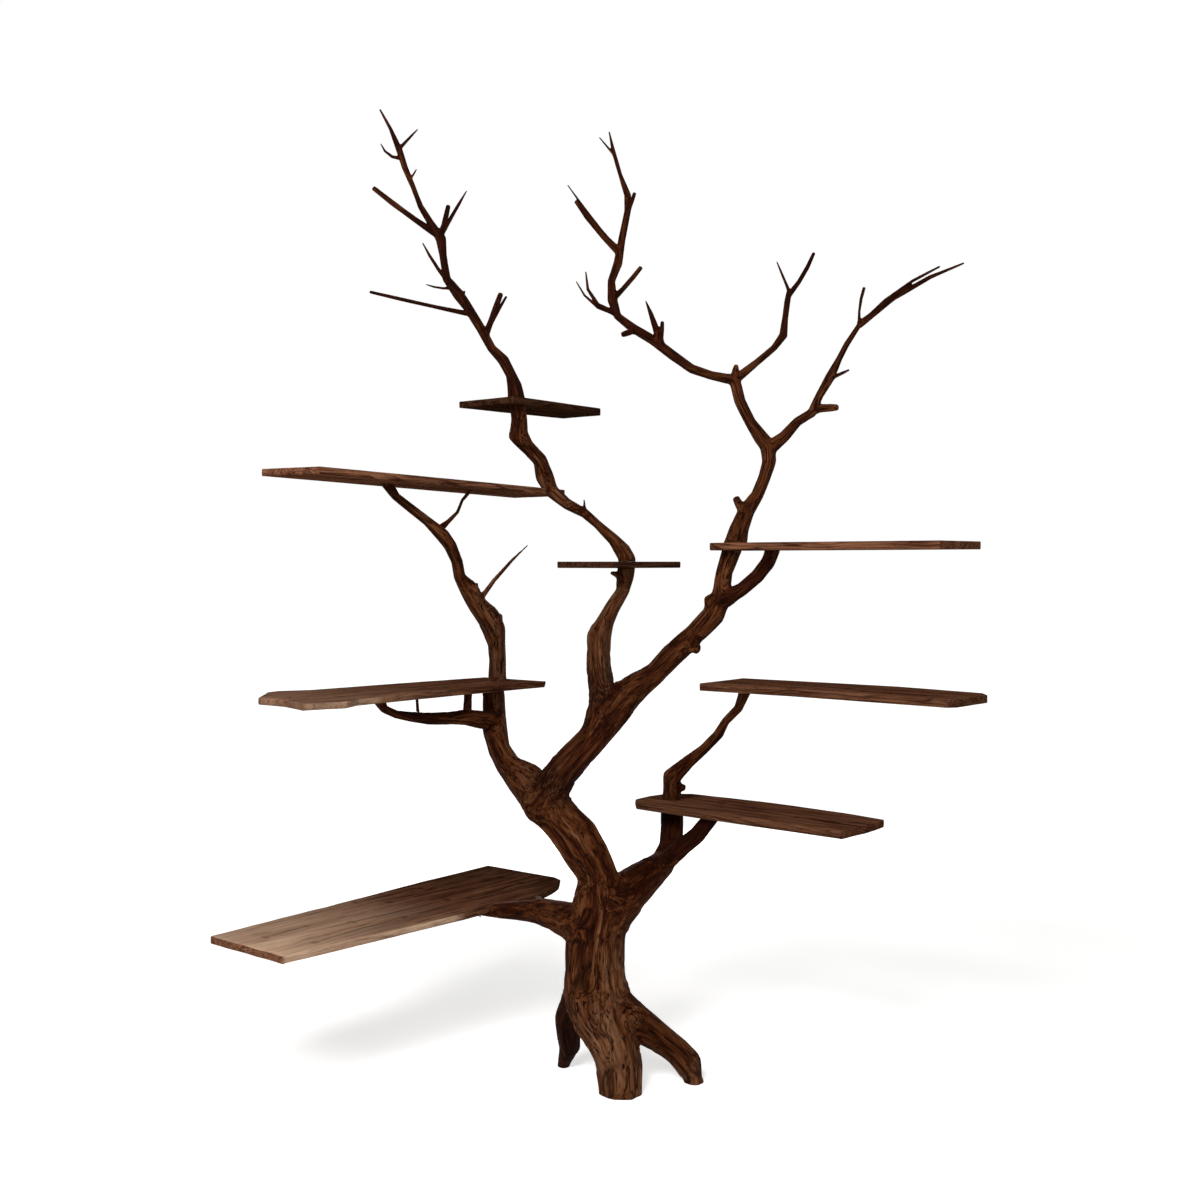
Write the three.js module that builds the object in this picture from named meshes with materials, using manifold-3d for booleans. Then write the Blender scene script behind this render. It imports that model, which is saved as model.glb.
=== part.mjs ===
// A tree shaped bookshelf for the corner of a room.
// A crooked trunk on three feet forks into limbs, and eight boards sit on the limbs along two walls.
// Millimetres, +Z up. The origin is the middle of the front foot, on the floor.
// +X runs along the right wall and +Y along the left wall, both towards the right of the room's view.
import * as THREE from "three";
import { mergeVertices } from "three/addons/utils/BufferGeometryUtils.js";
import Module from "manifold-3d";

const wasm = await Module();
wasm.setup();

// Clearances and overruns
const seatGap = 0.3;
const overrun = 30;
const tallCut = 400;

// Fasteners
const dowelRadius = 6;
const dowelGrip = 28;
const graftGrip = 32;
const pinSides = 8;
const screw = { headRadius: 4.5, headFlat: 1, headDepth: 4, shankRadius: 2.5, length: 34, sunk: 0.5, tip: 3 };

// The front view stands this far round from the walls
const viewTurn = THREE.MathUtils.degToRad(40);

// Boards
// nearEdge is how far the edge towards the room lies from the origin, leftEnd is where the end at
// the room's left lies along the wall, and level is the height of the underside.
// Outline shares are [along the board's length, out towards the wall over its width].
const edgeRound = 1.5;
const boardA = {
  wall: "left", nearEdge: -263, leftEnd: -81, length: 369, width: 190, thickness: 16, level: 1625,
  outlineShares: [[0, 0.01], [0.94, 0.1], [1, 0.2], [0.99, 0.88], [0.5, 0.95], [0, 1]],
};
const boardB = {
  wall: "left", nearEdge: -311, leftEnd: -633, length: 788, width: 175, thickness: 16, level: 1409,
  rise: 20,
  outlineShares: [[0, 0.02], [0.3, 0], [1, 0], [1, 1], [0.4, 0.99], [-0.03, 1]],
};
const boardC = {
  wall: "left", nearEdge: -84, leftEnd: 73, length: 285, width: 185, thickness: 16, level: 1225,
  outlineShares: [[0.01, 0], [0.98, 0.01], [1, 0.04], [1, 0.97], [0.02, 1], [0, 0.96]],
};
const boardD = {
  wall: "right", nearEdge: 195, leftEnd: 87, length: 630, width: 197, thickness: 18, level: 1268,
  outlineShares: [[0.095, 0], [0.6, 0.01], [1, 0], [1, 1], [0, 0.98], [0, 0.22], [0.03, 0.08]],
};
const boardE = {
  wall: "left", nearEdge: -359, leftEnd: -633, length: 770, width: 302, thickness: 16, level: 917,
  outlineShares: [
    [0, 0.03], [0.07, -0.02], [0.12, -0.08], [0.19, 0.01], [0.6, 0.02], [1, 0],
    [0.99, 0.7], [0.7, 0.79], [0.29, 0.88], [0.2, 1], [0.15, 0.97], [0.03, 0.66], [0.035, 0.36],
  ],
};
const boardF = {
  wall: "right", nearEdge: 180, leftEnd: 92, length: 665, width: 225, thickness: 18, level: 932,
  outlineShares: [
    [0.01, 0], [0.4, 0.07], [0.7, 0.05], [0.97, 0.03], [0.99, 0.12], [1, 0.72], [0.96, 0.87],
    [0.62, 1], [0.4, 0.96], [0, 0.86],
  ],
};
const boardG = {
  wall: "right", nearEdge: 188, leftEnd: -147, length: 634, width: 225, thickness: 18, level: 622,
  outlineShares: [
    [0.05, 0.05], [0.2, 0.03], [0.6, 0.01], [0.99, 0], [1, 0.4], [0.99, 0.87], [0.8, 0.96],
    [0.43, 1], [0.1, 0.93], [0.02, 0.75], [0, 0.5], [0.01, 0.2],
  ],
};
const boardH = {
  wall: "left", nearEdge: -360, leftEnd: -668, length: 958, width: 348, thickness: 18, level: 370,
  outlineShares: [
    [0, 0.09], [0.3, 0.05], [0.6, 0.01], [0.84, 0.01], [0.9, 0.06], [0.95, 0.12], [0.985, 0.2],
    [1, 0.29], [0.99, 1], [0.7, 0.97], [0.38, 0.91], [0, 0.86],
  ],
};

// Seats
// Each is a place on a board as [along, out] shares of its length and width.
const seatAShares = [0.15, 0.19];
const seatBLimbShares = [0.335, 0.52];
const seatBTwigShares = [0.67, 0.45];
const seatCShares = [0.5, 0.405];
const seatDShares = [0.075, 0.38];
const seatDBraceShares = [0.225, 0.48];
const seatEShares = [0.9, 0.34];
const seatEBracketShares = [0.318, 0.15];
const seatFShares = [0.111, 0.4];
const seatGShares = [0.102, 0.49];
const seatGForkShares = [0.377, 0.24];
const seatHArmShares = [0.637, 0.12];
const seatHBackShares = [0.833, 0.14];

// Feet
const leftFoot = { across: -131, back: 175 };
const rightFoot = { across: 171, back: 65 };

// The wood's frame: across, back and up as the front view shows them
const acrossWay = new THREE.Vector3(Math.cos(viewTurn), Math.sin(viewTurn), 0);
const backWay = new THREE.Vector3(-Math.sin(viewTurn), Math.cos(viewTurn), 0);
const upWay = new THREE.Vector3(0, 0, 1);

function inFront(across, back, up) {
  return new THREE.Vector3()
    .addScaledVector(acrossWay, across)
    .addScaledVector(backWay, back)
    .addScaledVector(upWay, up);
}

// A point of a board's plan
function boardPoint(board, [alongShare, outShare]) {
  const along = board.leftEnd + alongShare * board.length;
  const out = outShare * board.width;
  return board.wall === "left"
    ? new THREE.Vector2(board.nearEdge - out, along)
    : new THREE.Vector2(along, board.nearEdge + out);
}

// A board that rises towards the room's left is level across its width only
function boardSlope(board) {
  return Math.atan2(board.rise ?? 0, board.length);
}

function underside(board, shares) {
  const place = boardPoint(board, shares);
  const lift = (1 - shares[0]) * (board.rise ?? 0);
  return new THREE.Vector3(place.x, place.y, board.level + lift);
}

function topside(board, shares) {
  const place = underside(board, shares);
  place.z += board.thickness / Math.cos(boardSlope(board));
  return place;
}

// Solids and geometries
const weldGap = 1e-4;

function toSolid(geometry) {
  const bare = geometry.clone();
  bare.deleteAttribute("normal");
  bare.deleteAttribute("uv");
  const merged = mergeVertices(bare, weldGap);
  return new wasm.Manifold(new wasm.Mesh({
    numProp: 3,
    vertProperties: Float32Array.from(merged.attributes.position.array),
    triVerts: Uint32Array.from(merged.index.array),
  }));
}

function toGeometry(solid) {
  const mesh = solid.getMesh();
  const places = new Float32Array(mesh.numVert * 3);
  for (let i = 0; i < mesh.numVert; i += 1) {
    places.set(mesh.vertProperties.subarray(i * mesh.numProp, i * mesh.numProp + 3), i * 3);
  }
  const geometry = new THREE.BufferGeometry();
  geometry.setAttribute("position", new THREE.BufferAttribute(places, 3));
  geometry.setIndex(new THREE.BufferAttribute(Uint32Array.from(mesh.triVerts), 1));
  geometry.computeVertexNormals();
  return geometry;
}

// Limbs
// A limb runs from one place to another. Each row of its path shares is
// [along the span, aside in the front view, back, girth], the first three as shares of the
// span's length and the last as a share of the limb's girth.
function limb(start, end, girth, pathShares, { sides = 9, flutes = 3, flute = 0.07, turn = 0 } = {}) {
  const span = end.clone().sub(start);
  const length = span.length();
  const across = span.dot(acrossWay);
  const up = span.dot(upWay);
  const aside = acrossWay.clone().multiplyScalar(up).addScaledVector(upWay, -across).normalize();
  const points = pathShares.map(([alongShare, asideShare, backShare]) => start.clone()
    .addScaledVector(span, alongShare)
    .addScaledVector(aside, asideShare * length)
    .addScaledVector(backWay, backShare * length));
  const radii = pathShares.map((row) => row[3] * girth / 2);
  return { points, radii, length, sides, flutes, flute, turn };
}

// The path's middle and radius at a share of its rows
function onPath(path, share) {
  const curve = new THREE.CatmullRomCurve3(path.points, false, "centripetal");
  const at = share * (path.points.length - 1);
  const before = Math.min(Math.floor(at), path.points.length - 2);
  const radius = THREE.MathUtils.lerp(path.radii[before], path.radii[before + 1], at - before);
  return { point: curve.getPoint(share), way: curve.getTangent(share), radius };
}

// The path's middle nearest to a place
const seekSteps = 80;

function nearest(path, place) {
  let best = onPath(path, 1).point;
  for (let i = 0; i < seekSteps; i += 1) {
    const { point } = onPath(path, i / seekSteps);
    if (point.distanceTo(place) < best.distanceTo(place)) {
      best = point;
    }
  }
  return best;
}

// Where a branch springs from its parent's middle: a share of the parent's rows, then aside
function springing(parent, spring) {
  return onPath(parent, spring.fromShare).point.clone().add(inFront(spring.across, spring.back, spring.up));
}

function reaching(start, reach) {
  return start.clone().add(inFront(reach.across, reach.back, reach.up));
}

function footPlace(foot) {
  return inFront(foot.across, foot.back, 0);
}

// The skin of a limb: rings of a fluted round, carried along the path without twisting.
// Its flutes turn a little from ring to ring, and its ends bulge.
const ringTurn = 0.35;
const bulgeShare = 0.3;
const leanShare = 0.3;
const backLean = backWay.clone().addScaledVector(upWay, leanShare);

function sweep(path, swell = 0) {
  const rings = path.points.length - 1;
  const places = [];
  const faces = [];
  let side = backLean;
  for (let ring = 0; ring <= rings; ring += 1) {
    const { point, way, radius } = onPath(path, ring / rings);
    side = side.clone().addScaledVector(way, -way.dot(side)).normalize();
    const other = way.clone().cross(side);
    for (let k = 0; k < path.sides; k += 1) {
      const angle = 2 * Math.PI * k / path.sides;
      const wave = 1 + path.flute * Math.cos(path.flutes * angle + path.turn + ring * ringTurn);
      const reach = radius * wave + swell;
      places.push(point.clone()
        .addScaledVector(side, reach * Math.cos(angle))
        .addScaledVector(other, reach * Math.sin(angle)));
    }
  }
  const first = onPath(path, 0);
  const last = onPath(path, 1);
  places.push(first.point.clone().addScaledVector(first.way, -swell - first.radius * bulgeShare));
  places.push(last.point.clone().addScaledVector(last.way, swell + last.radius * bulgeShare));
  const n = path.sides;
  for (let ring = 0; ring < rings; ring += 1) {
    for (let k = 0; k < n; k += 1) {
      const a = ring * n + k;
      const b = ring * n + (k + 1) % n;
      faces.push(a, b, b + n, a, b + n, a + n);
    }
  }
  for (let k = 0; k < n; k += 1) {
    faces.push(places.length - 2, (k + 1) % n, k);
    faces.push(places.length - 1, rings * n + k, rings * n + (k + 1) % n);
  }
  const geometry = new THREE.BufferGeometry();
  geometry.setAttribute("position", new THREE.Float32BufferAttribute(
    places.flatMap((place) => [place.x, place.y, place.z]), 3,
  ));
  geometry.setIndex(faces);
  return toSolid(geometry);
}

// Twigs
// Each row is [from, across, back, up, girth, bend, tip]: where it leaves its limb as a share of
// the limb's rows, how far it reaches as shares of the limb's length, its girth as a share of the
// limb's, how far its middle bends aside as a share of its own length, and its tip's girth as a
// share of its own.
function twig(parent, girth, [fromShare, acrossShare, backShare, upShare, girthShare, bendShare, tipShare]) {
  const root = onPath(parent, fromShare).point;
  const reach = inFront(acrossShare, backShare, upShare).multiplyScalar(parent.length);
  const pathShares = [
    [0, 0, 0, 1.15], [0.35, bendShare * 0.9, 0, 0.85],
    [0.7, bendShare * 0.8, 0, (1 + tipShare) / 2], [1, 0, 0, tipShare],
  ];
  return limb(root, root.clone().add(reach), girth * girthShare, pathShares, { sides: 5, flute: 0 });
}

function joinAll(solids) {
  return solids.reduce((whole, solid) => whole.add(solid));
}

// Cuts

function keepAbove(solid, height) {
  return solid.trimByPlane([0, 0, 1], height);
}

// Keeps what lies under a board, with the seat's gap
function underBoard(solid, board) {
  const slope = boardSlope(board);
  const corner = underside(board, [1, 0]);
  const normal = [0, -Math.sin(slope), -Math.cos(slope)];
  return solid.trimByPlane(normal, normal[1] * corner.y + normal[2] * corner.z + seatGap);
}

function onBoard(solid, board) {
  return keepAbove(solid, board.level + board.thickness + seatGap);
}

function boardShape(board, grow) {
  const middle = boardPoint(board, [0.5, 0.5]);
  const points = board.outlineShares.map((shares) => {
    const point = boardPoint(board, shares);
    const away = point.clone().sub(middle);
    point.x += Math.sign(away.x) * grow;
    point.y += Math.sign(away.y) * grow;
    return point;
  });
  return new THREE.Shape(points);
}

// Lays an extruded outline at a board's height and slope
function laid(geometry, board) {
  const end = underside(board, [1, 0]);
  geometry.translate(0, -end.y, 0);
  geometry.rotateX(-boardSlope(board));
  geometry.translate(0, end.y, end.z);
  return geometry;
}

function boardSolid(board) {
  const geometry = new THREE.ExtrudeGeometry(boardShape(board, -edgeRound), {
    depth: board.thickness - 2 * edgeRound,
    bevelEnabled: true,
    bevelThickness: edgeRound,
    bevelSize: edgeRound,
    bevelSegments: 1,
  });
  geometry.translate(0, 0, edgeRound);
  return toSolid(laid(geometry, board));
}

// What a limb must leave free for a board and all above it
function boardRoom(board) {
  const geometry = new THREE.ExtrudeGeometry(boardShape(board, seatGap), {
    depth: tallCut, bevelEnabled: false,
  });
  geometry.translate(0, 0, -seatGap);
  return toSolid(laid(geometry, board));
}

// Pins and screws, turned on their own axis with the head end at the origin and the tip along -Y

function pinGeometry(radius, length) {
  return new THREE.CylinderGeometry(radius, radius, length, pinSides);
}

function screwProfile(grow) {
  const tipEnd = screw.length + grow;
  return [
    [0, grow ? tallCut : 0],
    [screw.headRadius + grow, grow ? tallCut : 0],
    [screw.headRadius + grow, -screw.headFlat],
    [screw.shankRadius + grow, -screw.headDepth],
    [screw.shankRadius + grow, -(tipEnd - screw.tip)],
    [0, -tipEnd],
  ].map(([x, y]) => new THREE.Vector2(x, y)).reverse();
}

function screwGeometry(grow) {
  return new THREE.LatheGeometry(screwProfile(grow), pinSides);
}

function placed(geometry, middle, way) {
  const turn = new THREE.Quaternion().setFromUnitVectors(new THREE.Vector3(0, 1, 0), way);
  const place = new THREE.Matrix4().compose(middle, turn, new THREE.Vector3(1, 1, 1));
  return geometry.clone().applyMatrix4(place);
}

// The parts: name, solid or geometry, material
const parts = {};
const pins = [];

function pinBore(pin) {
  return toSolid(placed(pinGeometry(pin.radius + seatGap, pin.length + 2 * seatGap), pin.middle, pin.way));
}

// A pin through a board and into the limb on each side
function boardDowel(name, board, shares) {
  const middle = underside(board, shares).add(topside(board, shares)).multiplyScalar(0.5);
  const pin = {
    name, middle, way: upWay, radius: dowelRadius, length: board.thickness + 2 * dowelGrip,
  };
  pins.push(pin);
  return pinBore(pin);
}

// Where a branch leaves the wood that carries it
function leaving(branch, parent) {
  const around = [];
  for (let i = 0; i <= seekSteps; i += 1) {
    around.push(onPath(parent, i / seekSteps));
  }
  for (let i = 1; i <= seekSteps; i += 1) {
    const spot = onPath(branch, i / seekSteps);
    const inside = around.some(({ point, radius }) => point.distanceTo(spot.point) < radius);
    if (!inside) {
      return spot;
    }
  }
  return onPath(branch, 0);
}

// A pin along a branch, half in the branch and half in the wood that carries it
function graftDowel(name, branch, parent) {
  const spot = leaving(branch, parent);
  const pin = { name, middle: spot.point, way: spot.way, radius: dowelRadius, length: 2 * graftGrip };
  pins.push(pin);
  return pinBore(pin);
}

const screws = [];

// A screw down through a board into the limb under it, set towards the side that a slanted limb
// comes from
const screwSeek = 1.5;

function boardScrew(name, board, shares, path) {
  const head = topside(board, shares);
  const below = underside(board, shares);
  below.z -= screwSeek * (screw.length - board.thickness);
  const middle = nearest(path, below);
  head.set(middle.x, middle.y, head.z - screw.sunk);
  screws.push({ name, head });
  return toSolid(placed(screwGeometry(seatGap), head, upWay));
}

// Trunk
// It stands on its own front foot and runs on as the left limb up to board E.
const trunkGirth = 148;
const trunkEnd = underside(boardE, seatEShares);
const trunkPathShares = [
  [-0.02, -0.004, 0, 0.66], [0.049, 0.016, 0, 0.73], [0.11, 0.022, -0.01, 0.79],
  [0.18, 0.008, -0.01, 0.93], [0.231, 0.017, -0.02, 1.02], [0.291, 0.034, -0.03, 0.93],
  [0.351, 0.056, -0.04, 0.91], [0.42, 0.091, -0.06, 0.86], [0.5, 0.107, -0.08, 0.62],
  [0.55, 0.097, -0.09, 0.71], [0.599, 0.086, -0.1, 0.72], [0.648, 0.065, -0.105, 0.66],
  [0.698, 0.044, -0.105, 0.72], [0.758, 0.013, -0.09, 0.61], [0.808, -0.02, -0.07, 0.41],
  [0.85, -0.033, -0.045, 0.38], [0.901, -0.031, -0.02, 0.43], [0.951, -0.019, -0.01, 0.39],
  [1.03, 0, 0, 0.39],
];
const trunkPath = limb(
  new THREE.Vector3(), trunkEnd, trunkGirth, trunkPathShares, { sides: 12, flutes: 4, flute: 0.06, turn: 3 },
);

// Roots
const leftRootGirth = 70;
const leftRootSpring = { fromShare: 0.235, across: -3, back: -10, up: 1 };
const leftRootPathShares = [
  [-0.05, 0.02, 0, 1.1], [0.072, 0.043, 0, 1.05], [0.272, 0.128, 0, 0.96],
  [0.462, 0.138, 0, 0.85], [0.642, 0.073, 0, 0.83], [0.782, 0.021, 0, 0.73],
  [0.92, 0.027, 0, 0.52], [1.08, 0.02, 0, 0.36],
];
const leftRootPath = limb(
  springing(trunkPath, leftRootSpring), footPlace(leftFoot),
  leftRootGirth, leftRootPathShares, { turn: 1 },
);
const rightRootGirth = 80;
const rightRootSpring = { fromShare: 0.22, across: 30, back: -14, up: 5 };
const rightRootPathShares = [
  [-0.05, 0.04, 0, 1.1], [0.09, 0.028, 0, 1.07], [0.34, 0.004, 0, 1.01], [0.55, -0.043, 0, 0.85],
  [0.73, -0.08, 0, 0.78], [0.871, -0.081, 0, 0.84], [0.974, -0.038, 0, 0.6],
  [1.09, 0.01, 0, 0.5],
];
const rightRootPath = limb(
  springing(trunkPath, rightRootSpring), footPlace(rightFoot),
  rightRootGirth, rightRootPathShares, { turn: 2 },
);

// Left limb above board E
const leftUpperGirth = 45;
const leftUpperPathShares = [
  [-0.05, -0.01, 0, 1.15], [0.018, 0.015, 0, 1.05], [0.088, 0.047, 0, 1], [0.16, 0.073, 0, 1.03],
  [0.23, 0.091, 0, 1.31], [0.29, 0.094, 0, 1.32], [0.369, 0.08, 0, 1.08], [0.442, 0.08, 0, 1.06],
  [0.51, 0.071, 0, 0.67], [0.579, 0.09, 0, 0.63], [0.65, 0.096, 0, 0.7], [0.71, 0.089, 0, 0.76],
  [0.789, 0.065, 0, 0.52], [0.868, 0.035, 0, 0.48], [0.935, 0.01, 0, 0.45], [1.06, 0, 0, 0.75],
];
const leftUpperPath = limb(
  topside(boardE, seatEShares), underside(boardB, seatBLimbShares),
  leftUpperGirth, leftUpperPathShares, { turn: 0.5 },
);
const leftUpperTwigShares = [
  [0.4, 0.201, 0.021, 0.232, 0.33, -0.035, 0.27],
  [0.41, 0.003, 0, 0.072, 0.39, 0, 0.64],
  [0.26, 0.025, -0.009, 0.064, 0.56, 0, 0.75],
];

// Bracket branch under board E, grafted to the left limb
const bracketGirth = 45;
const bracketSpring = { fromShare: 0.9, across: -6, back: -15, up: 8 };
const bracketPathShares = [
  [-0.05, 0.01, 0, 1.2], [0.078, 0.006, 0, 1.09], [0.248, 0.001, 0, 0.86],
  [0.398, -0.025, 0, 0.71], [0.557, -0.048, 0, 0.66], [0.709, -0.055, 0, 0.55],
  [0.83, -0.056, 0, 0.44], [0.935, -0.038, 0, 0.46], [1.03, 0.03, 0, 0.72],
];
const bracketPath = limb(
  springing(trunkPath, bracketSpring), underside(boardE, seatEBracketShares),
  bracketGirth, bracketPathShares, { turn: 1 },
);

// Right limb, from the fork to board D, with its cut stub
const rightLimbGirth = 80;
const rightLimbSpring = { fromShare: 0.67, across: -10, back: -18, up: -4 };
const rightLimbPathShares = [
  [-0.04, 0, 0, 1.1], [0.03, 0.004, 0, 1.15], [0.11, -0.006, 0, 1], [0.18, -0.002, 0, 0.95],
  [0.259, 0.008, 0, 0.91], [0.34, -0.003, 0, 1.13], [0.44, 0.004, 0, 0.97],
  [0.546, 0.038, 0, 0.66], [0.628, 0.045, 0, 0.72], [0.719, 0.061, 0, 0.64],
  [0.8, 0.071, 0, 0.69], [0.867, 0.053, 0, 0.58], [0.923, 0.02, 0, 0.5], [1.047, -0.021, 0, 0.63],
];
const rightLimbPath = limb(
  springing(trunkPath, rightLimbSpring), underside(boardD, seatDShares),
  rightLimbGirth, rightLimbPathShares, { sides: 10, turn: 2 },
);
const rightLimbTwigShares = [
  [0.66, 0.04, -0.016, -0.026, 0.39, 0, 0.85],
  [0.47, 0.01, -0.005, 0.044, 0.3, 0, 0.7],
];
const braceGirth = 30;
const braceSpring = { fromShare: 0.81, across: -6, back: -4, up: 4 };
const bracePathShares = [
  [-0.1, -0.05, 0, 1.6], [0.139, 0.052, 0, 1.45], [0.379, 0.11, 0, 1.12], [0.648, 0.125, 0, 1.15],
  [0.864, 0.091, 0, 1.2], [1.12, -0.03, 0, 1.2],
];
const bracePath = limb(
  springing(rightLimbPath, braceSpring), underside(boardD, seatDBraceShares),
  braceGirth, bracePathShares, { sides: 8 },
);

// Centre limb
const centreLowerGirth = 60;
const centreLowerSpring = { fromShare: 0.385, across: -4, back: 3, up: 4 };
const centreLowerPathShares = [
  [-0.03, 0, 0, 1.4], [0.06, -0.007, 0, 1.3], [0.18, -0.039, 0, 1.1], [0.34, -0.081, 0, 1],
  [0.51, -0.102, 0, 1.02], [0.623, -0.074, 0, 0.73], [0.713, -0.048, 0, 0.66],
  [0.835, 0.002, 0, 0.58], [0.94, 0.006, 0, 0.76], [1.081, 0.001, 0, 0.78],
];
const centreLowerPath = limb(
  springing(rightLimbPath, centreLowerSpring), underside(boardC, seatCShares),
  centreLowerGirth, centreLowerPathShares, { turn: 1.5 },
);
const centreLowerTwigShares = [[0.88, -0.09, 0, 0.035, 0.35, 0, 0.5], [0.5, -0.07, 0, 0.01, 0.3, 0, 0.7]];
const centreMiddleGirth = 45;
const centreMiddlePathShares = [
  [-0.053, -0.039, 0, 0.99], [0.005, 0.018, 0, 1.01], [0.06, 0.023, 0.01, 0.93],
  [0.132, 0.016, 0.02, 0.68], [0.254, -0.01, 0.04, 0.5], [0.344, -0.033, 0.06, 0.56],
  [0.44, -0.084, 0.1, 0.66], [0.542, -0.111, 0.14, 0.79], [0.624, -0.103, 0.13, 1.02],
  [0.711, -0.072, 0.09, 0.81], [0.808, -0.088, 0.05, 0.79], [0.882, -0.093, 0.02, 1.14],
  [0.939, -0.043, 0, 0.89], [1.079, 0.032, 0, 0.94],
];
const centreMiddlePath = limb(
  topside(boardC, seatCShares), underside(boardA, seatAShares),
  centreMiddleGirth, centreMiddlePathShares, { turn: 1 },
);
const centreMiddleTwigShares = [
  [0.38, -0.007, -0.006, 0.077, 0.22, 0, 0.45],
  [0.7, -0.028, 0, -0.006, 0.33, 0, 0.83],
];

// Leader: the left crown, above board A
const leaderGirth = 43;
const leaderReach = { across: -345, back: 40, up: 728 };
const leaderStart = topside(boardA, seatAShares);
const leaderPathShares = [
  [-0.03, -0.01, 0, 1.05], [0.002, -0.008, 0, 1.02], [0.042, 0.005, 0, 0.88],
  [0.08, 0.009, 0, 0.65], [0.13, 0.007, 0, 0.68], [0.178, -0.01, 0, 0.53],
  [0.249, -0.014, 0, 0.56], [0.32, -0.022, 0, 0.58], [0.37, -0.031, 0, 0.71],
  [0.431, -0.044, 0, 0.53], [0.502, -0.023, 0, 0.46], [0.55, -0.007, 0, 0.64],
  [0.61, -0.015, 0, 0.42], [0.67, -0.021, 0, 0.35], [0.731, -0.016, 0, 0.31],
  [0.801, -0.013, 0, 0.38], [0.86, -0.005, 0, 0.4], [0.93, -0.002, 0, 0.22],
  [0.999, -0.006, 0, 0.13],
];
const leaderPath = limb(
  leaderStart, reaching(leaderStart, leaderReach),
  leaderGirth, leaderPathShares, { sides: 7, turn: 1 },
);
const leaderTwigShares = [
  [0.89, 0.06, -0.019, 0.055, 0.24, 0, 0.36],
  [0.86, -0.069, 0.019, 0.052, 0.25, -0.16, 0.34],
  [0.8, 0.02, 0, 0.033, 0.17, 0, 0.53],
  [0.62, -0.212, 0.05, 0.162, 0.43, -0.012, 0.76],
  [0.62, 0.087, -0.05, 0.128, 0.32, 0, 0.29],
  [0.62, 0.028, -0.019, 0.091, 0.38, 0.02, 0.76],
  [0.49, -0.075, -0.031, 0.114, 0.29, -0.03, 0.32],
  [0.47, -0.085, 0.025, 0.016, 0.21, -0.06, 0.42],
  [0.37, -0.305, -0.056, 0.059, 0.31, -0.005, 0.63],
  [0.43, 0.011, 0, 0.023, 0.2, 0, 0.65],
  [0.31, 0.046, 0.031, 0.138, 0.42, 0, 0.81],
  [0.31, 0.064, 0.019, 0.127, 0.29, -0.02, 0.56],
];

// Right limb above board D, with its three crown branches
const rightUpperGirth = 50;
const rightUpperReach = { across: 8, back: 53, up: 402 };
const rightUpperStart = topside(boardD, seatDShares);
const rightUpperPathShares = [
  [-0.06, -0.01, 0, 1.15], [0.006, 0.019, 0, 1.1], [0.086, 0.036, 0, 0.96],
  [0.195, 0.078, 0, 0.83], [0.293, 0.142, 0, 0.65], [0.398, 0.183, 0, 0.63],
  [0.5, 0.213, 0, 0.72], [0.595, 0.204, 0, 0.8], [0.649, 0.161, 0, 0.73], [0.739, 0.098, 0, 0.56],
  [0.871, 0.031, 0, 0.59], [1, 0, 0, 0.56],
];
const rightUpperPath = limb(
  rightUpperStart, reaching(rightUpperStart, rightUpperReach),
  rightUpperGirth, rightUpperPathShares, { sides: 8, turn: 1 },
);
const rightUpperTwigShares = [
  [0.25, -0.053, 0, 0.108, 0.53, 0, 0.73],
  [1, 0.01, 0, 0.091, 0.52, 0, 0.42],
];
const crownGirth = 28;
const crownLeftReach = { across: -308, back: 120, up: 647 };
const crownMiddleReach = { across: 145, back: 80, up: 233 };
const crownRightReach = { across: 205, back: -90, up: 287 };
const crownFork = onPath(rightUpperPath, 1).point;
const crownLeftPathShares = [
  [0, 0, 0, 1], [0.049, -0.063, 0, 0.79], [0.1, -0.113, 0, 0.84], [0.171, -0.15, 0, 0.92],
  [0.251, -0.188, 0, 0.94], [0.32, -0.232, 0, 0.88], [0.38, -0.26, 0, 0.73],
  [0.438, -0.252, 0, 0.95], [0.503, -0.226, 0, 0.75], [0.551, -0.178, 0, 0.86],
  [0.624, -0.128, 0, 0.72], [0.707, -0.067, 0, 0.65], [0.759, -0.042, 0, 0.68],
  [0.84, -0.033, 0, 0.4], [0.93, -0.017, 0, 0.4], [1, 0, 0, 0.16],
];
const crownLeftPath = limb(
  crownFork, reaching(crownFork, crownLeftReach),
  crownGirth, crownLeftPathShares, { sides: 7, turn: 1 },
);
const crownLeftTwigShares = [
  [0.92, -0.053, 0.021, 0.069, 0.29, 0, 0.47],
  [0.72, 0.027, -0.011, 0.078, 0.49, 0, 0.76],
  [0.63, -0.149, -0.062, 0.165, 0.75, -0.035, 0.76],
  [0.63, -0.179, -0.069, 0.216, 0.41, -0.015, 0.35],
  [0.47, 0.1, 0.03, 0.118, 0.59, 0.02, 0.76],
  [0.41, -0.105, 0.021, 0.15, 0.52, -0.2, 0.31],
  [0.41, -0.138, 0.034, 0.119, 0.39, -0.13, 0.34],
  [0.32, -0.049, -0.014, -0.018, 0.71, 0, 0.75],
  [0.24, -0.052, -0.021, 0.149, 0.83, 0.02, 0.17],
  [0.24, 0.005, -0.011, 0.081, 0.57, 0, 0.66],
];
const crownMiddlePathShares = [
  [0, 0, 0, 0.9], [0.259, 0.085, 0, 0.64], [0.455, 0.144, 0, 0.62], [0.605, 0.157, 0, 0.8],
  [0.755, 0.093, 0, 0.59], [0.896, 0.036, 0, 0.61], [1, 0, 0, 0.52],
];
const crownMiddlePath = limb(
  crownFork, reaching(crownFork, crownMiddleReach), crownGirth, crownMiddlePathShares, { sides: 6 },
);
const crownMiddleTwigShares = [
  [1, -0.114, -0.035, 0.255, 0.34, 0, 0.42],
  [0.93, 0.237, 0.077, 0.395, 0.54, 0.04, 0.63],
];
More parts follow.
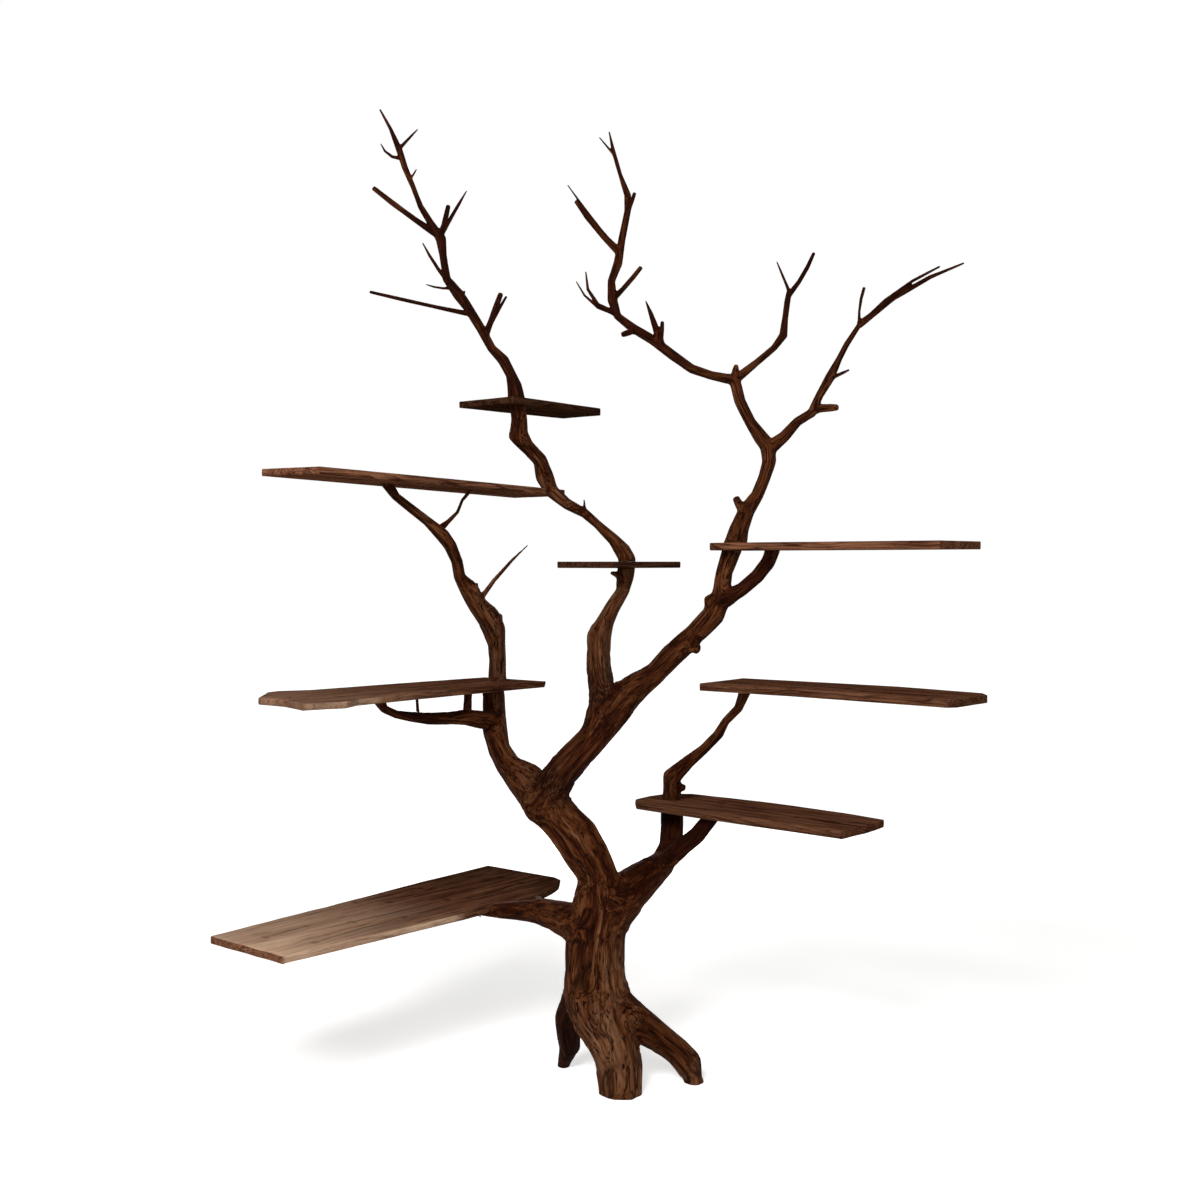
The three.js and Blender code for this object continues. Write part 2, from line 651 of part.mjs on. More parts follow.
const crownRightFromShare = 0.62;
const crownRightFork = onPath(rightUpperPath, crownRightFromShare).point;
const crownRightPathShares = [
  [0, 0, 0, 1.35], [0.128, 0.036, 0, 1.02], [0.258, 0.049, 0, 0.88], [0.358, 0.091, 0, 0.88],
  [0.479, 0.064, 0, 0.71], [0.621, 0.049, 0, 0.89], [0.75, 0.025, 0, 0.55],
  [0.85, 0.009, 0, 0.53], [1, 0, 0, 0.46],
];
const crownRightPath = limb(
  crownRightFork, reaching(crownRightFork, crownRightReach),
  crownGirth, crownRightPathShares, { sides: 7 },
);
const crownRightTwigShares = [
  [0.41, 0.152, -0.033, 0.005, 0.95, 0, 0.6],
  [1, 0.039, 0.033, 0.252, 0.31, -0.05, 1.06],
  [1, 0.72, 0.137, 0.434, 0.63, -0.05, 0.32],
  [1, 0.553, 0.11, 0.406, 0.39, -0.05, 0.61],
  [0.61, 0.133, 0, 0.062, 0.43, 0, 0.44],
];

// Arm under board H, with a prong to the board's end
const leftArmGirth = 76;
const leftArmEnd = underside(boardH, seatHArmShares);
const leftArmSpring = { fromShare: 0.365, across: -9, back: -21, up: 1 };
const leftArmPathShares = [
  [-0.05, -0.02, 0, 1.1], [0.06, -0.03, 0, 1.15], [0.21, -0.015, 0, 1.12], [0.35, 0.02, 0, 0.95],
  [0.48, 0.042, 0, 0.82], [0.66, 0.03, 0, 0.62], [0.84, 0.018, 0, 0.5], [1.06, 0.02, 0, 0.42],
];
const leftArmPath = limb(
  springing(trunkPath, leftArmSpring), leftArmEnd, leftArmGirth, leftArmPathShares, { turn: 1 },
);
const leftProngGirth = 56;
const leftProngFromShare = 0.35;
const leftProngPathShares = [
  [0, 0, 0, 1.05], [0.4, -0.03, 0, 0.95], [0.75, -0.035, 0, 0.85], [1.05, -0.01, 0, 0.75],
];
const leftProngPath = limb(
  onPath(leftArmPath, leftProngFromShare).point, underside(boardH, seatHBackShares),
  leftProngGirth, leftProngPathShares, { turn: 2 },
);

// Arm under board G, with a fork towards the room's right
const rightArmGirth = 86;
const rightArmSpring = { fromShare: 0.39, across: 1, back: -12, up: 1 };
const rightArmPathShares = [
  [-0.04, 0.05, 0, 1.3], [0.081, 0.062, 0, 1.32], [0.251, 0.104, 0, 1.12], [0.421, 0.152, 0, 0.93],
  [0.59, 0.198, 0, 0.7], [0.736, 0.178, 0, 0.68], [0.871, 0.108, 0, 0.66], [1.08, -0.02, 0, 0.66],
];
const rightArmPath = limb(
  springing(trunkPath, rightArmSpring), underside(boardG, seatGShares),
  rightArmGirth, rightArmPathShares, { sides: 10, turn: 1 },
);
const rightArmTwigShares = [
  [0.45, -0.034, -0.012, 0.121, 0.23, 0, 0.62],
];
const rightForkGirth = 48;
const rightForkFromShare = 0.5;
const rightForkPathShares = [
  [0, 0, 0, 1.1], [0.199, 0.004, 0, 1], [0.449, 0.014, 0, 0.95], [0.699, 0.034, 0, 0.87],
  [1.15, -0.02, 0, 0.72],
];
const rightForkPath = limb(
  onPath(rightArmPath, rightForkFromShare).point, underside(boardG, seatGForkShares),
  rightForkGirth, rightForkPathShares, { sides: 8 },
);

// Post between boards G and F
const postGirth = 40;
const postPathShares = [
  [-0.08, 0.02, 0, 1.4], [0.013, 0.02, 0, 1.3], [0.093, -0.027, 0, 1.12],
  [0.163, -0.062, 0, 1.21], [0.219, -0.052, 0, 1.04], [0.326, -0.032, 0, 0.85],
  [0.467, 0.003, 0, 0.68], [0.62, 0.025, 0, 0.69], [0.731, 0.016, 0, 0.56],
  [0.86, 0.035, 0, 0.57], [1.08, -0.01, 0, 0.9],
];
const postPath = limb(
  topside(boardG, seatGShares), underside(boardF, seatFShares),
  postGirth, postPathShares, { sides: 8, turn: 1 },
);
const postTwigShares = [
  [0.22, 0.083, 0, -0.025, 0.63, 0, 0.8],
];

// Pegs between the bracket branch and board E, and the twig brace under board B
const pegPathShares = [[0, 0, 0, 1], [0.5, 0, 0, 0.9], [1, 0, 0, 1.15]];
const thinPeg = { alongShare: 0.57, across: -6, girth: 9 };
const thickPeg = { alongShare: 0.24, across: 4, girth: 23 };
const twigBraceGirth = 14;
const twigBraceFromShare = 0.755;
const twigBracePathShares = [
  [0, 0, 0, 1.6], [0.25, 0.04, 0, 0.85], [0.5, 0.06, 0, 0.62], [0.75, 0, 0, 0.58], [1.1, 0, 0, 0.9],
];
const twigBracePath = limb(
  onPath(leftUpperPath, twigBraceFromShare).point, underside(boardB, seatBTwigShares),
  twigBraceGirth, twigBracePathShares, { sides: 6 },
);

function pegPath(peg) {
  const foot = onPath(bracketPath, peg.alongShare).point;
  const head = foot.clone();
  head.z = boardE.level + overrun;
  head.addScaledVector(acrossWay, peg.across);
  return limb(foot, head, peg.girth, pegPathShares, { sides: 7 });
}

function grown(path, girth, twigs) {
  return joinAll([sweep(path), ...twigs.map((row) => sweep(twig(path, girth, row)))]);
}

// Cut and fit the wood
const swollenTrunk = sweep(trunkPath, seatGap);
const swollenRightLimb = sweep(rightLimbPath, seatGap);
const swollenLeftUpper = sweep(leftUpperPath, seatGap);
const swollenBracket = sweep(bracketPath, seatGap);
const swollenLeftArm = sweep(leftArmPath, seatGap).add(sweep(leftProngPath, seatGap));
const swollenCentre = sweep(centreMiddlePath, seatGap);

const boreLeftRoot = graftDowel("dowel_left_root", leftRootPath, trunkPath);
const boreRightRoot = graftDowel("dowel_right_root", rightRootPath, trunkPath);
const boreRightLimb = graftDowel("dowel_right_limb", rightLimbPath, trunkPath);
const boreCentre = graftDowel("dowel_centre_limb", centreLowerPath, rightLimbPath);
const boreBracket = graftDowel("dowel_bracket", bracketPath, trunkPath);
const boreLeftArm = graftDowel("dowel_left_arm", leftArmPath, trunkPath);
const boreRightArm = graftDowel("dowel_right_arm", rightArmPath, trunkPath);
const boreBrace = graftDowel("dowel_brace", bracePath, rightLimbPath);
const boreA = boardDowel("dowel_board_a", boardA, seatAShares);
const boreC = boardDowel("dowel_board_c", boardC, seatCShares);
const boreD = boardDowel("dowel_board_d", boardD, seatDShares);
const boreE = boardDowel("dowel_board_e", boardE, seatEShares);
const boreG = boardDowel("dowel_board_g", boardG, seatGShares);
const screwB = boardScrew("screw_board_b", boardB, seatBLimbShares, leftUpperPath);
const screwD = boardScrew("screw_board_d", boardD, seatDBraceShares, bracePath);
const screwE = boardScrew("screw_board_e", boardE, seatEBracketShares, bracketPath);
const screwF = boardScrew("screw_board_f", boardF, seatFShares, postPath);
const screwG = boardScrew("screw_board_g", boardG, seatGForkShares, rightForkPath);
const screwHArm = boardScrew("screw_board_h_arm", boardH, seatHArmShares, leftArmPath);
const screwHBack = boardScrew("screw_board_h_back", boardH, seatHBackShares, leftProngPath);

// Cuts a piece and clears away the waste chips that the cuts part from it
function cut(solid, ...cutters) {
  const whole = cutters.reduce((left, cutter) => left.subtract(cutter), solid);
  return whole.decompose().reduce((most, body) => (body.volume() > most.volume() ? body : most));
}

parts.trunk = cut(
  keepAbove(underBoard(sweep(trunkPath), boardE), 0),
  boreLeftRoot, boreRightRoot, boreRightLimb, boreBracket, boreLeftArm, boreRightArm, boreE,
);
parts.left_root = cut(keepAbove(sweep(leftRootPath), 0), swollenTrunk, boreLeftRoot);
parts.right_root = cut(keepAbove(sweep(rightRootPath), 0), swollenTrunk, boreRightRoot);
parts.left_limb = cut(
  underBoard(onBoard(grown(leftUpperPath, leftUpperGirth, leftUpperTwigShares), boardE), boardB),
  boreE, screwB,
);
parts.bracket_branch = cut(sweep(bracketPath), swollenTrunk, boardRoom(boardE), boreBracket, screwE);
parts.right_limb = cut(
  underBoard(grown(rightLimbPath, rightLimbGirth, rightLimbTwigShares), boardD),
  swollenTrunk, boreRightLimb, boreCentre, boreBrace, boreD,
);
parts.brace_branch = cut(sweep(bracePath), swollenRightLimb, boardRoom(boardD), boreBrace, screwD);
parts.centre_limb_lower = cut(
  underBoard(grown(centreLowerPath, centreLowerGirth, centreLowerTwigShares), boardC),
  swollenRightLimb, swollenTrunk, boreCentre, boreC,
);
parts.centre_limb_upper = cut(
  underBoard(onBoard(grown(centreMiddlePath, centreMiddleGirth, centreMiddleTwigShares), boardC), boardA),
  boreC, boreA,
);
parts.left_crown = cut(onBoard(grown(leaderPath, leaderGirth, leaderTwigShares), boardA), boreA);
parts.right_crown = cut(onBoard(joinAll([
  grown(rightUpperPath, rightUpperGirth, rightUpperTwigShares),
  grown(crownLeftPath, crownGirth, crownLeftTwigShares),
  grown(crownMiddlePath, crownGirth, crownMiddleTwigShares),
  grown(crownRightPath, crownGirth, crownRightTwigShares),
]), boardD), boreD);
parts.left_arm = cut(
  sweep(leftArmPath).add(sweep(leftProngPath)), swollenTrunk, boardRoom(boardH), boreLeftArm,
  screwHArm, screwHBack,
);
parts.right_arm = cut(
  underBoard(grown(rightArmPath, rightArmGirth, rightArmTwigShares).add(sweep(rightForkPath)), boardG),
  swollenTrunk, swollenLeftArm, boreRightArm, boreG, screwG,
);
parts.right_post = cut(
  underBoard(onBoard(grown(postPath, postGirth, postTwigShares), boardG), boardF), boreG, screwF,
);
parts.peg_thin = cut(sweep(pegPath(thinPeg)), swollenBracket, boardRoom(boardE));
parts.peg_thick = cut(sweep(pegPath(thickPeg)), swollenBracket, swollenTrunk, boardRoom(boardE));
parts.twig_brace = cut(sweep(twigBracePath), swollenLeftUpper, boardRoom(boardB));
parts.board_a = cut(boardSolid(boardA), boreA);
parts.board_b = cut(boardSolid(boardB), screwB, swollenCentre);
parts.board_c = cut(boardSolid(boardC), boreC);
parts.board_d = cut(boardSolid(boardD), boreD, screwD);
parts.board_e = cut(boardSolid(boardE), boreE, screwE);
parts.board_f = cut(boardSolid(boardF), screwF);
parts.board_g = cut(boardSolid(boardG), boreG, screwG);
parts.board_h = cut(boardSolid(boardH), screwHArm, screwHBack);

// Materials
const finishes = {
  trunk: new THREE.MeshStandardMaterial({ color: 0x46281a, roughness: 0.55, metalness: 0 }),
  board: new THREE.MeshStandardMaterial({ color: 0x5b3a2a, roughness: 0.5, metalness: 0 }),
  peg: new THREE.MeshStandardMaterial({ color: 0x8a5f3c, roughness: 0.6, metalness: 0 }),
  steel: new THREE.MeshStandardMaterial({ color: 0x77746c, roughness: 0.4, metalness: 1 }),
};

// Assemble
const bookshelf = new THREE.Group();
for (const [name, solid] of Object.entries(parts)) {
  const finish = name.startsWith("board") ? finishes.board : finishes.trunk;
  const mesh = new THREE.Mesh(toGeometry(solid), finish);
  mesh.name = name;
  bookshelf.add(mesh);
}
for (const pin of pins) {
  const mesh = new THREE.Mesh(pinGeometry(pin.radius, pin.length), finishes.peg);
  mesh.name = pin.name;
  mesh.position.copy(pin.middle);
  mesh.quaternion.setFromUnitVectors(new THREE.Vector3(0, 1, 0), pin.way);
  bookshelf.add(mesh);
}
for (const { name, head } of screws) {
  const mesh = new THREE.Mesh(screwGeometry(0), finishes.steel);
  mesh.name = name;
  mesh.position.copy(head);
  mesh.quaternion.setFromUnitVectors(new THREE.Vector3(0, 1, 0), upWay);
  bookshelf.add(mesh);
}

export default bookshelf;
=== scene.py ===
"""Dresses a tree shaped bookshelf: dried, stained branch wood carrying sawn plank boards."""
import heapq
import math
from functools import partial

import bmesh
import bpy
import numpy as np
from mathutils import Matrix, Vector
from mathutils.bvhtree import BVHTree
from mathutils.geometry import delaunay_2d_cdt


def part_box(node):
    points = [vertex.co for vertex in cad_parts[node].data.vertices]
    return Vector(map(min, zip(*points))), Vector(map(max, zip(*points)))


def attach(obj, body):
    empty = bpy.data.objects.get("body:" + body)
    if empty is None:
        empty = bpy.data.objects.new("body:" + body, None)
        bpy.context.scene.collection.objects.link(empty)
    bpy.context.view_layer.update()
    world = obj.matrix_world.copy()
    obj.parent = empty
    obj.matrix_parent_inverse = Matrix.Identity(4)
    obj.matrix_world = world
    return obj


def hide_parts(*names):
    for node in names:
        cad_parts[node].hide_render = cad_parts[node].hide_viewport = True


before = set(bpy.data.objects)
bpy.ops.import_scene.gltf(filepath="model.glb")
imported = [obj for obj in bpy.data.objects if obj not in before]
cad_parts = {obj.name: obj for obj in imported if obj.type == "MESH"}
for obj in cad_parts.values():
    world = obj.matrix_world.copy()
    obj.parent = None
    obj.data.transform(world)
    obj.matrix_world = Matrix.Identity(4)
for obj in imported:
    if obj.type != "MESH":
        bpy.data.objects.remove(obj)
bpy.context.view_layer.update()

bl_info = {
    "name": "Tree Bookshelf",
    "version": (1, 0, 0),
    "blender": (4, 5, 0),
    "location": "View3D > Sidebar > Tree Bookshelf",
    "description": "Dresses a tree shaped bookshelf in dried branch wood and sawn planks",
    "category": "Object",
}

MM = 0.001
BODY = "root"

# Points of a CAD solid that lie closer than this are one, and edges sharper than this stay crisp
WELD = 1e-6
CREASE = math.radians(50)

# The limb wood falls into a stout group and a slender group, so that twigs get a finer skin
STOUT_LIMBS = (
    "trunk", "left_root", "right_root", "left_limb", "bracket_branch", "right_limb",
    "brace_branch", "centre_limb_lower", "centre_limb_upper", "left_arm", "right_arm",
    "right_post",
)
SLENDER_LIMBS = ("left_crown", "right_crown", "peg_thin", "peg_thick", "twig_brace")
BOARDS = tuple("board_" + letter for letter in "abcdefgh")

# How much paler the stain is on some limbs than on the others, low and high on the limb; the
# values are partly the wood's own tone and partly painted light and shade, such as the painted
# shade that darkens the left root
LIMB_TONE_AND_PAINTED_LIGHT = {
    "trunk": (0.18, 0.0), "left_root": (-0.22, -0.18), "right_root": (0.08, 0.0),
    "left_limb": (0.17, -0.06), "bracket_branch": (-0.1, -0.1), "right_arm": (0.02, -0.3),
    "right_limb": (-0.04, -0.04), "centre_limb_lower": (0.1, 0.14), "centre_limb_upper": (0.04, -0.12),
    "brace_branch": (-0.2, -0.2), "left_crown": (-0.3, -0.18), "right_crown": (0.05, -0.15),
}

# Graft dowels that lie where the bark is knobbly, in the crotches of the tree
CROTCH_DOWELS = ("dowel_right_limb", "dowel_centre_limb")


def linear(code):
    """An sRGB hex colour as linear red, green and blue, with full alpha."""
    shares = [int(code[i:i + 2], 16) / 255 for i in (1, 3, 5)]
    return (*[s / 12.92 if s <= 0.04045 else ((s + 0.055) / 1.055) ** 2.4 for s in shares], 1.0)


def colour(name, description, code):
    """A colour on the panel, from a hex value."""
    return bpy.props.FloatVectorProperty(
        name=name, description=description, subtype="COLOR", size=4, min=0, max=1,
        default=linear(code),
    )


def length(name, description, millimetres):
    """A size on the panel."""
    return bpy.props.FloatProperty(
        name=name, description=description, subtype="DISTANCE", unit="LENGTH", min=0,
        default=millimetres * MM,
    )


def power(name, description, watts):
    """A lamp's power on the panel."""
    return bpy.props.FloatProperty(
        name=name, description=description, subtype="POWER", unit="POWER", min=0, default=watts,
    )


class LimbSettings(bpy.types.PropertyGroup):
    """Sizes and colours of the branch wood."""

    stout_skin: length("Stout skin", "Grain of the modelled skin on the trunk and limbs", 2.8)
    slender_skin: length("Slender skin", "Grain of the modelled skin on crowns and twigs", 1.4)
    flute_spacing: length("Flute spacing", "Distance between the muscles of the trunk", 26)
    groove_spacing: length("Groove spacing", "Distance between drying grooves round a limb", 17)
    groove_run: length("Groove run", "How far a drying groove runs along the limb", 120)
    groove_depth: length("Groove depth", "Depth of the drying grooves on stout wood", 2.4)
    fibre_width: length("Fibre width", "Width of the fibres that the stain brings out", 2.4)
    fibre_run: length("Fibre run", "Length of those fibres", 70)
    streak_width: length("Streak width", "Width of the streaks of deeper stain", 8)
    streak_run: length("Streak run", "Length of those streaks", 160)
    hollow: colour("Hollow", "Stain where it gathers in grooves", "#130401")
    dark: colour("Dark", "Darkest of the stained wood", "#2c0f04")
    middle: colour("Middle", "The stained wood itself", "#4c2812")
    # The palest stain, on worn ridges and where painted light lifts a limb's tone
    worn: colour("Worn", "Where the stain is thin on ridges", "#6f4d36")


class BoardSettings(bpy.types.PropertyGroup):
    """Sizes and colours of the boards."""

    outline_step: length("Outline step", "Distance between points of a board's edge", 6)
    cap_step: length("Cap step", "Distance between points on a board's faces", 18)
    edge_round: length("Edge round", "Rounding of a board's long edges", 1.5)
    edge_wander: length("Edge wander", "How far a live edge strays", 1.2)
    ring_width: length("Ring width", "Width of a year's growth", 6)
    pore_width: length("Pore width", "Width of the open pores", 2.2)
    pore_run: length("Pore run", "Length of the open pores", 60)
    early: colour("Early wood", "Wood of the spring growth", "#704a35")
    late: colour("Late wood", "Wood of the summer growth", "#3c2014")
    pore: colour("Pores", "Stain that fills the pores", "#1d0c06")
    # Also the colour of the painted sheen on the near end of some boards
    sapwood_and_sheen: colour("Sapwood", "Pale wood under the bark", "#c0a085")


class StageSettings(bpy.types.PropertyGroup):
    """The room round the bookshelf."""

    floor: colour("Floor", "The plain floor", "#f4f3f1")
    key_power: power("Key light", "The broad lamp high in front", 158)
    fill_power: power("Fill light", "The broad low lamp in front", 35)
    back_power: power("Back light", "The broad low lamp behind", 35)
    sky: bpy.props.FloatProperty(
        name="Sky", description="Strength of the even light all round", default=0.16,
    )
    floor_lift: bpy.props.FloatProperty(
        name="Floor lift", description="What the white room adds to the floor as it is seen",
        default=0.55,
    )


def add_node(tree, kind, inputs=None, stops=(), out=0, **settings):
    """Adds a shader node with its settings, colour stops and inputs, and gives one of its outputs.

    An input is a value or another node's output. The first two colour stops are the outer ones.
    """
    node = tree.nodes.new("ShaderNode" + kind)
    for name, value in settings.items():
        setattr(node, name, value)
    for place, (at, tint) in enumerate(stops):
        points = node.color_ramp.elements
        point = points[place] if place < 2 else points.new(at)
        point.position, point.color = at, tint
    for name, value in (inputs or {}).items():
        if isinstance(value, bpy.types.NodeSocket):
            tree.links.new(value, node.inputs[name])
        else:
            node.inputs[name].default_value = value
    return node.outputs[out] if len(node.outputs) else node


def new_material(name):
    """An empty material, and add_node for its tree."""
    material = bpy.data.materials.new(name)
    material.use_nodes = True
    material.node_tree.nodes.clear()
    return material, partial(add_node, material.node_tree)


# Repeatable noise

HASH_STEPS = np.array([73856093, 19349663, 83492791, 49979687], dtype=np.uint64)


def cell_value(cells, seed):
    """A repeatable value from 0 to 1 for each cell of whole numbers."""
    mixed = (cells.astype(np.int64).astype(np.uint64) * HASH_STEPS).sum(axis=1, dtype=np.uint64)
    mixed = mixed + np.uint64(seed * 2654435761 % 2 ** 32)
    mixed ^= mixed >> np.uint64(31)
    mixed *= np.uint64(0x9E3779B97F4A7C15)
    mixed ^= mixed >> np.uint64(29)
    mixed *= np.uint64(0xBF58476D1CE4E5B9)
    mixed ^= mixed >> np.uint64(32)
    return (mixed & np.uint64(0xFFFFFF)).astype(float) / 0xFFFFFF


def grain_noise(places, seed):
    """Smooth noise from 0 to 1 at places with four coordinates."""
    low = np.floor(places)
    part = places - low
    part = part * part * (3 - 2 * part)
    total = np.zeros(len(places))
    for corner in range(16):
        step = np.array([(corner >> k) & 1 for k in range(4)])
        weight = np.where(step, part, 1 - part).prod(axis=1)
        total += weight * cell_value(low + step, seed)
    return total


# Meshes


def add_object(name, data):
    """A new object in the scene."""
    made = bpy.data.objects.new(name, data)
    bpy.context.scene.collection.objects.link(made)
    return made


def mesh_from(shape, name):
    """The mesh of a bmesh, which is freed."""
    mesh = bpy.data.meshes.new(name)
    shape.to_mesh(mesh)
    shape.free()
    return mesh


def welded(node):
    """A CAD solid of the frame as a bmesh whose faces share their points."""
    shape = bmesh.new()
    shape.from_mesh(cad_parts[node].data)
    bmesh.ops.remove_doubles(shape, verts=shape.verts, dist=WELD)
    return shape


def add_wall(shape, low, high):
    """Faces that join two rings of as many points."""
    for k in range(len(low)):
        n = (k + 1) % len(low)
        shape.faces.new((low[k], low[n], high[n], high[k]))


def shade(mesh):
    """Smooth faces with crisp cuts."""
    mesh.shade_smooth()
    mesh.set_sharp_from_angle(angle=CREASE)


def piece_from(name, places, faces, material, attributes):
    """A new piece with values at its points that its material reads."""
    mesh = bpy.data.meshes.new(name)
    mesh.from_pydata([tuple(p) for p in places], [], faces)
    for key, values in attributes.items():
        kind = "FLOAT_VECTOR" if values.ndim == 2 else "FLOAT"
        layer = mesh.attributes.new(key, kind, "POINT")
        field = "vector" if values.ndim == 2 else "value"
        layer.data.foreach_set(field, values.astype(np.float32).ravel())
    mesh.update()
    return object_from(name, mesh, material)


def object_from(name, mesh, material):
    """A piece of the bookshelf that rides on the body."""
    mesh.materials.append(material)
    shade(mesh)
    piece = add_object(name, mesh)
    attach(piece, BODY)
    return piece


def mesh_arrays(mesh):
    """A mesh's points and faces."""
    places = np.zeros(len(mesh.vertices) * 3)
    mesh.vertices.foreach_get("co", places)
    faces = [tuple(p.vertices) for p in mesh.polygons]
    return places.reshape(-1, 3), faces


def evaluated(source, name):
    """The mesh of an object with its modifiers applied."""
    graph = bpy.context.evaluated_depsgraph_get()
    graph.update()
    mesh = bpy.data.meshes.new_from_object(source.evaluated_get(graph))
    mesh.name = name
    return mesh


def loops_of(edges):
    """Closed rings of points from a heap of bmesh edges, the longest first."""
    links = {}
    for edge in edges:
        a, b = edge.verts
        links.setdefault(a, []).append(b)
        links.setdefault(b, []).append(a)
    rings, seen = [], set()
    for start in links:
        if start in seen:
            continue
        ring, last, here = [], None, start
        while here is not None and here not in seen:
            seen.add(here)
            ring.append(here)
            onward = [v for v in links[here] if v is not last and v not in seen]
            last, here = here, (onward[0] if onward else None)
        rings.append([v.co.copy() for v in ring])
    rings.sort(key=lambda ring: -sum((a - b).length for a, b in zip(ring, ring[1:] + ring[:1])))
    return rings


class Board:
    """A board of the frame: its own axes, outline and thickness.

    Along runs down the grain, out runs towards the wall and up is square to its face.
    """

    def __init__(self, node):
        self.node = node
        low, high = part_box(node)
        mesh = welded(node)
        up = Vector()
        for face in mesh.faces:
            if face.normal.z > 0.9:
                up += face.normal * face.calc_area()
        self.up = up.normalized()
        on_left_wall = high.y - low.y > high.x - low.x
        along = Vector((0, 1, 0)) if on_left_wall else Vector((1, 0, 0))
        self.along = (along - self.up * along.dot(self.up)).normalized()
        self.out = self.up.cross(self.along)
        self.centre = (low + high) / 2
        heights = [(v.co - self.centre).dot(self.up) for v in mesh.verts]
        self.centre += self.up * (max(heights) + min(heights)) / 2
        self.thickness = max(heights) - min(heights)
        cut = bmesh.ops.bisect_plane(
            mesh, geom=mesh.verts[:] + mesh.edges[:] + mesh.faces[:],
            plane_co=self.centre, plane_no=self.up,
        )
        edges = [e for e in cut["geom_cut"] if isinstance(e, bmesh.types.BMEdge)]
        ring = loops_of(edges)[0]
        flat = [((p - self.centre).dot(self.along), (p - self.centre).dot(self.out)) for p in ring]
        mesh.free()
        area = sum(a[0] * b[1] - b[0] * a[1] for a, b in zip(flat, flat[1:] + flat[:1]))
        self.outline = np.array(flat if area > 0 else flat[::-1])
        self.low = self.outline.min(axis=0)
        self.size = self.outline.max(axis=0) - self.low

    def matrix(self):
        """From the board's own axes to the frame's."""
        turn = Matrix((self.along, self.out, self.up)).transposed().to_4x4()
        return Matrix.Translation(self.centre) @ turn

    def place(self, shares):
        """A point of the plan, from shares of the board's length and width."""
        return self.low + self.size * np.array(shares)


def outward_ways(ring):
    """The way out of a closed anticlockwise ring at each of its points."""
    ahead = np.roll(ring, -1, axis=0) - ring
    normals = np.stack([ahead[:, 1], -ahead[:, 0]], axis=1)
    normals /= np.linalg.norm(normals, axis=1)[:, None] + 1e-12
    both = normals + np.roll(normals, 1, axis=0)
    return both / (np.linalg.norm(both, axis=1)[:, None] + 1e-12)


def resampled(ring, step):
    """A ring with points no further apart than a step, its corners kept."""
    points = []
    for here, there in zip(ring, np.roll(ring, -1, axis=0)):
        count = max(1, math.ceil(np.linalg.norm(there - here) / step))
        points += [here + (there - here) * k / count for k in range(count)]
    return np.array(points)


def inside_ring(points, ring):
    """Which points lie inside a ring."""
    inside = np.zeros(len(points), bool)
    for a, b in zip(ring, np.roll(ring, -1, axis=0)):
        crosses = (a[1] > points[:, 1]) != (b[1] > points[:, 1])
        reach = a[0] + (points[:, 1] - a[1]) * (b[0] - a[0]) / (b[1] - a[1] + 1e-15)
        inside ^= crosses & (points[:, 0] < reach)
    return inside


def distance_to_line(points, line):
    """How far each point lies from a line of points."""
    best = np.full(len(points), np.inf)
    for a, b in zip(line[:-1], line[1:]):
        run = b - a
        share = np.clip(((points - a) @ run) / (run @ run), 0, 1)
        best = np.minimum(best, np.linalg.norm(points - a - share[:, None] * run, axis=1))
    return best


# Boards


# Each crack is where it starts and ends, along and out as shares of the board, how far its middle
# bows aside as a share of its length, and its width and depth in millimetres
CRACKS = {
    "board_e": [
        ((0.2, 0.3), (0.62, 0.26), 0.01, 2.4, 3.5), ((0.42, 0.5), (0.8, 0.46), -0.01, 1.8, 3),
        ((0.1, 0.55), (0.33, 0.5), 0.02, 1.6, 3),
    ],
    "board_f": [
        ((0.3, 0.45), (0.52, 0.47), 0.01, 1.4, 2.5), ((0.62, 0.3), (0.85, 0.28), -0.02, 1.4, 2.5),
        ((0.06, 0.3), (0.24, 0.34), 0.01, 1.4, 2.5),
    ],
    "board_g": [
        ((0.72, 0.42), (0.985, 0.36), 0.01, 2.6, 5), ((0.34, 0.62), (0.47, 0.6), 0.02, 2, 3),
        ((0.02, 0.36), (0.16, 0.4), 0.02, 1.6, 3),
    ],
    "board_h": [
        ((0.12, 0.2), (0.42, 0.25), 0.02, 1.8, 3), ((0.3, 0.42), (0.62, 0.4), -0.01, 1.6, 3),
        ((0.5, 0.66), (0.9, 0.6), 0.01, 1.8, 3), ((0.08, 0.55), (0.2, 0.57), 0.01, 1.4, 2.5),
        ((0.66, 0.3), (0.88, 0.36), -0.02, 1.6, 3), ((0.44, 0.84), (0.66, 0.82), 0.01, 1.6, 3),
    ],
}

# How far the stain round a crack reaches past its lips, in millimetres
CRACK_STAIN = 6

# Boards with a live edge to the room, and how far its foot lies back under its top, in millimetres
LIVE_EDGES = {"board_e": 5, "board_g": 5, "board_h": 6}

# How much light each board's stain lets back at its near and far ends, 1 being the usual stain;
# these values also paint light and shade: board a is darkened as painted shade, and board h is
# paler at its near end as a painted sheen
STAIN_AND_PAINTED_LIGHT = {
    "board_a": (0.34, 0.25), "board_b": (1.25, 1.0), "board_c": (0.42, 0.42), "board_d": (1.1, 1.1),
    "board_e": (1.2, 0.95), "board_f": (1.05, 1.05), "board_g": (1.02, 1.05), "board_h": (1.5, 0.6),
}

# Boards whose edges hold more stain than their faces, and how much light they let back
EDGE_STAIN = {"board_f": 0.68, "board_g": 0.72}

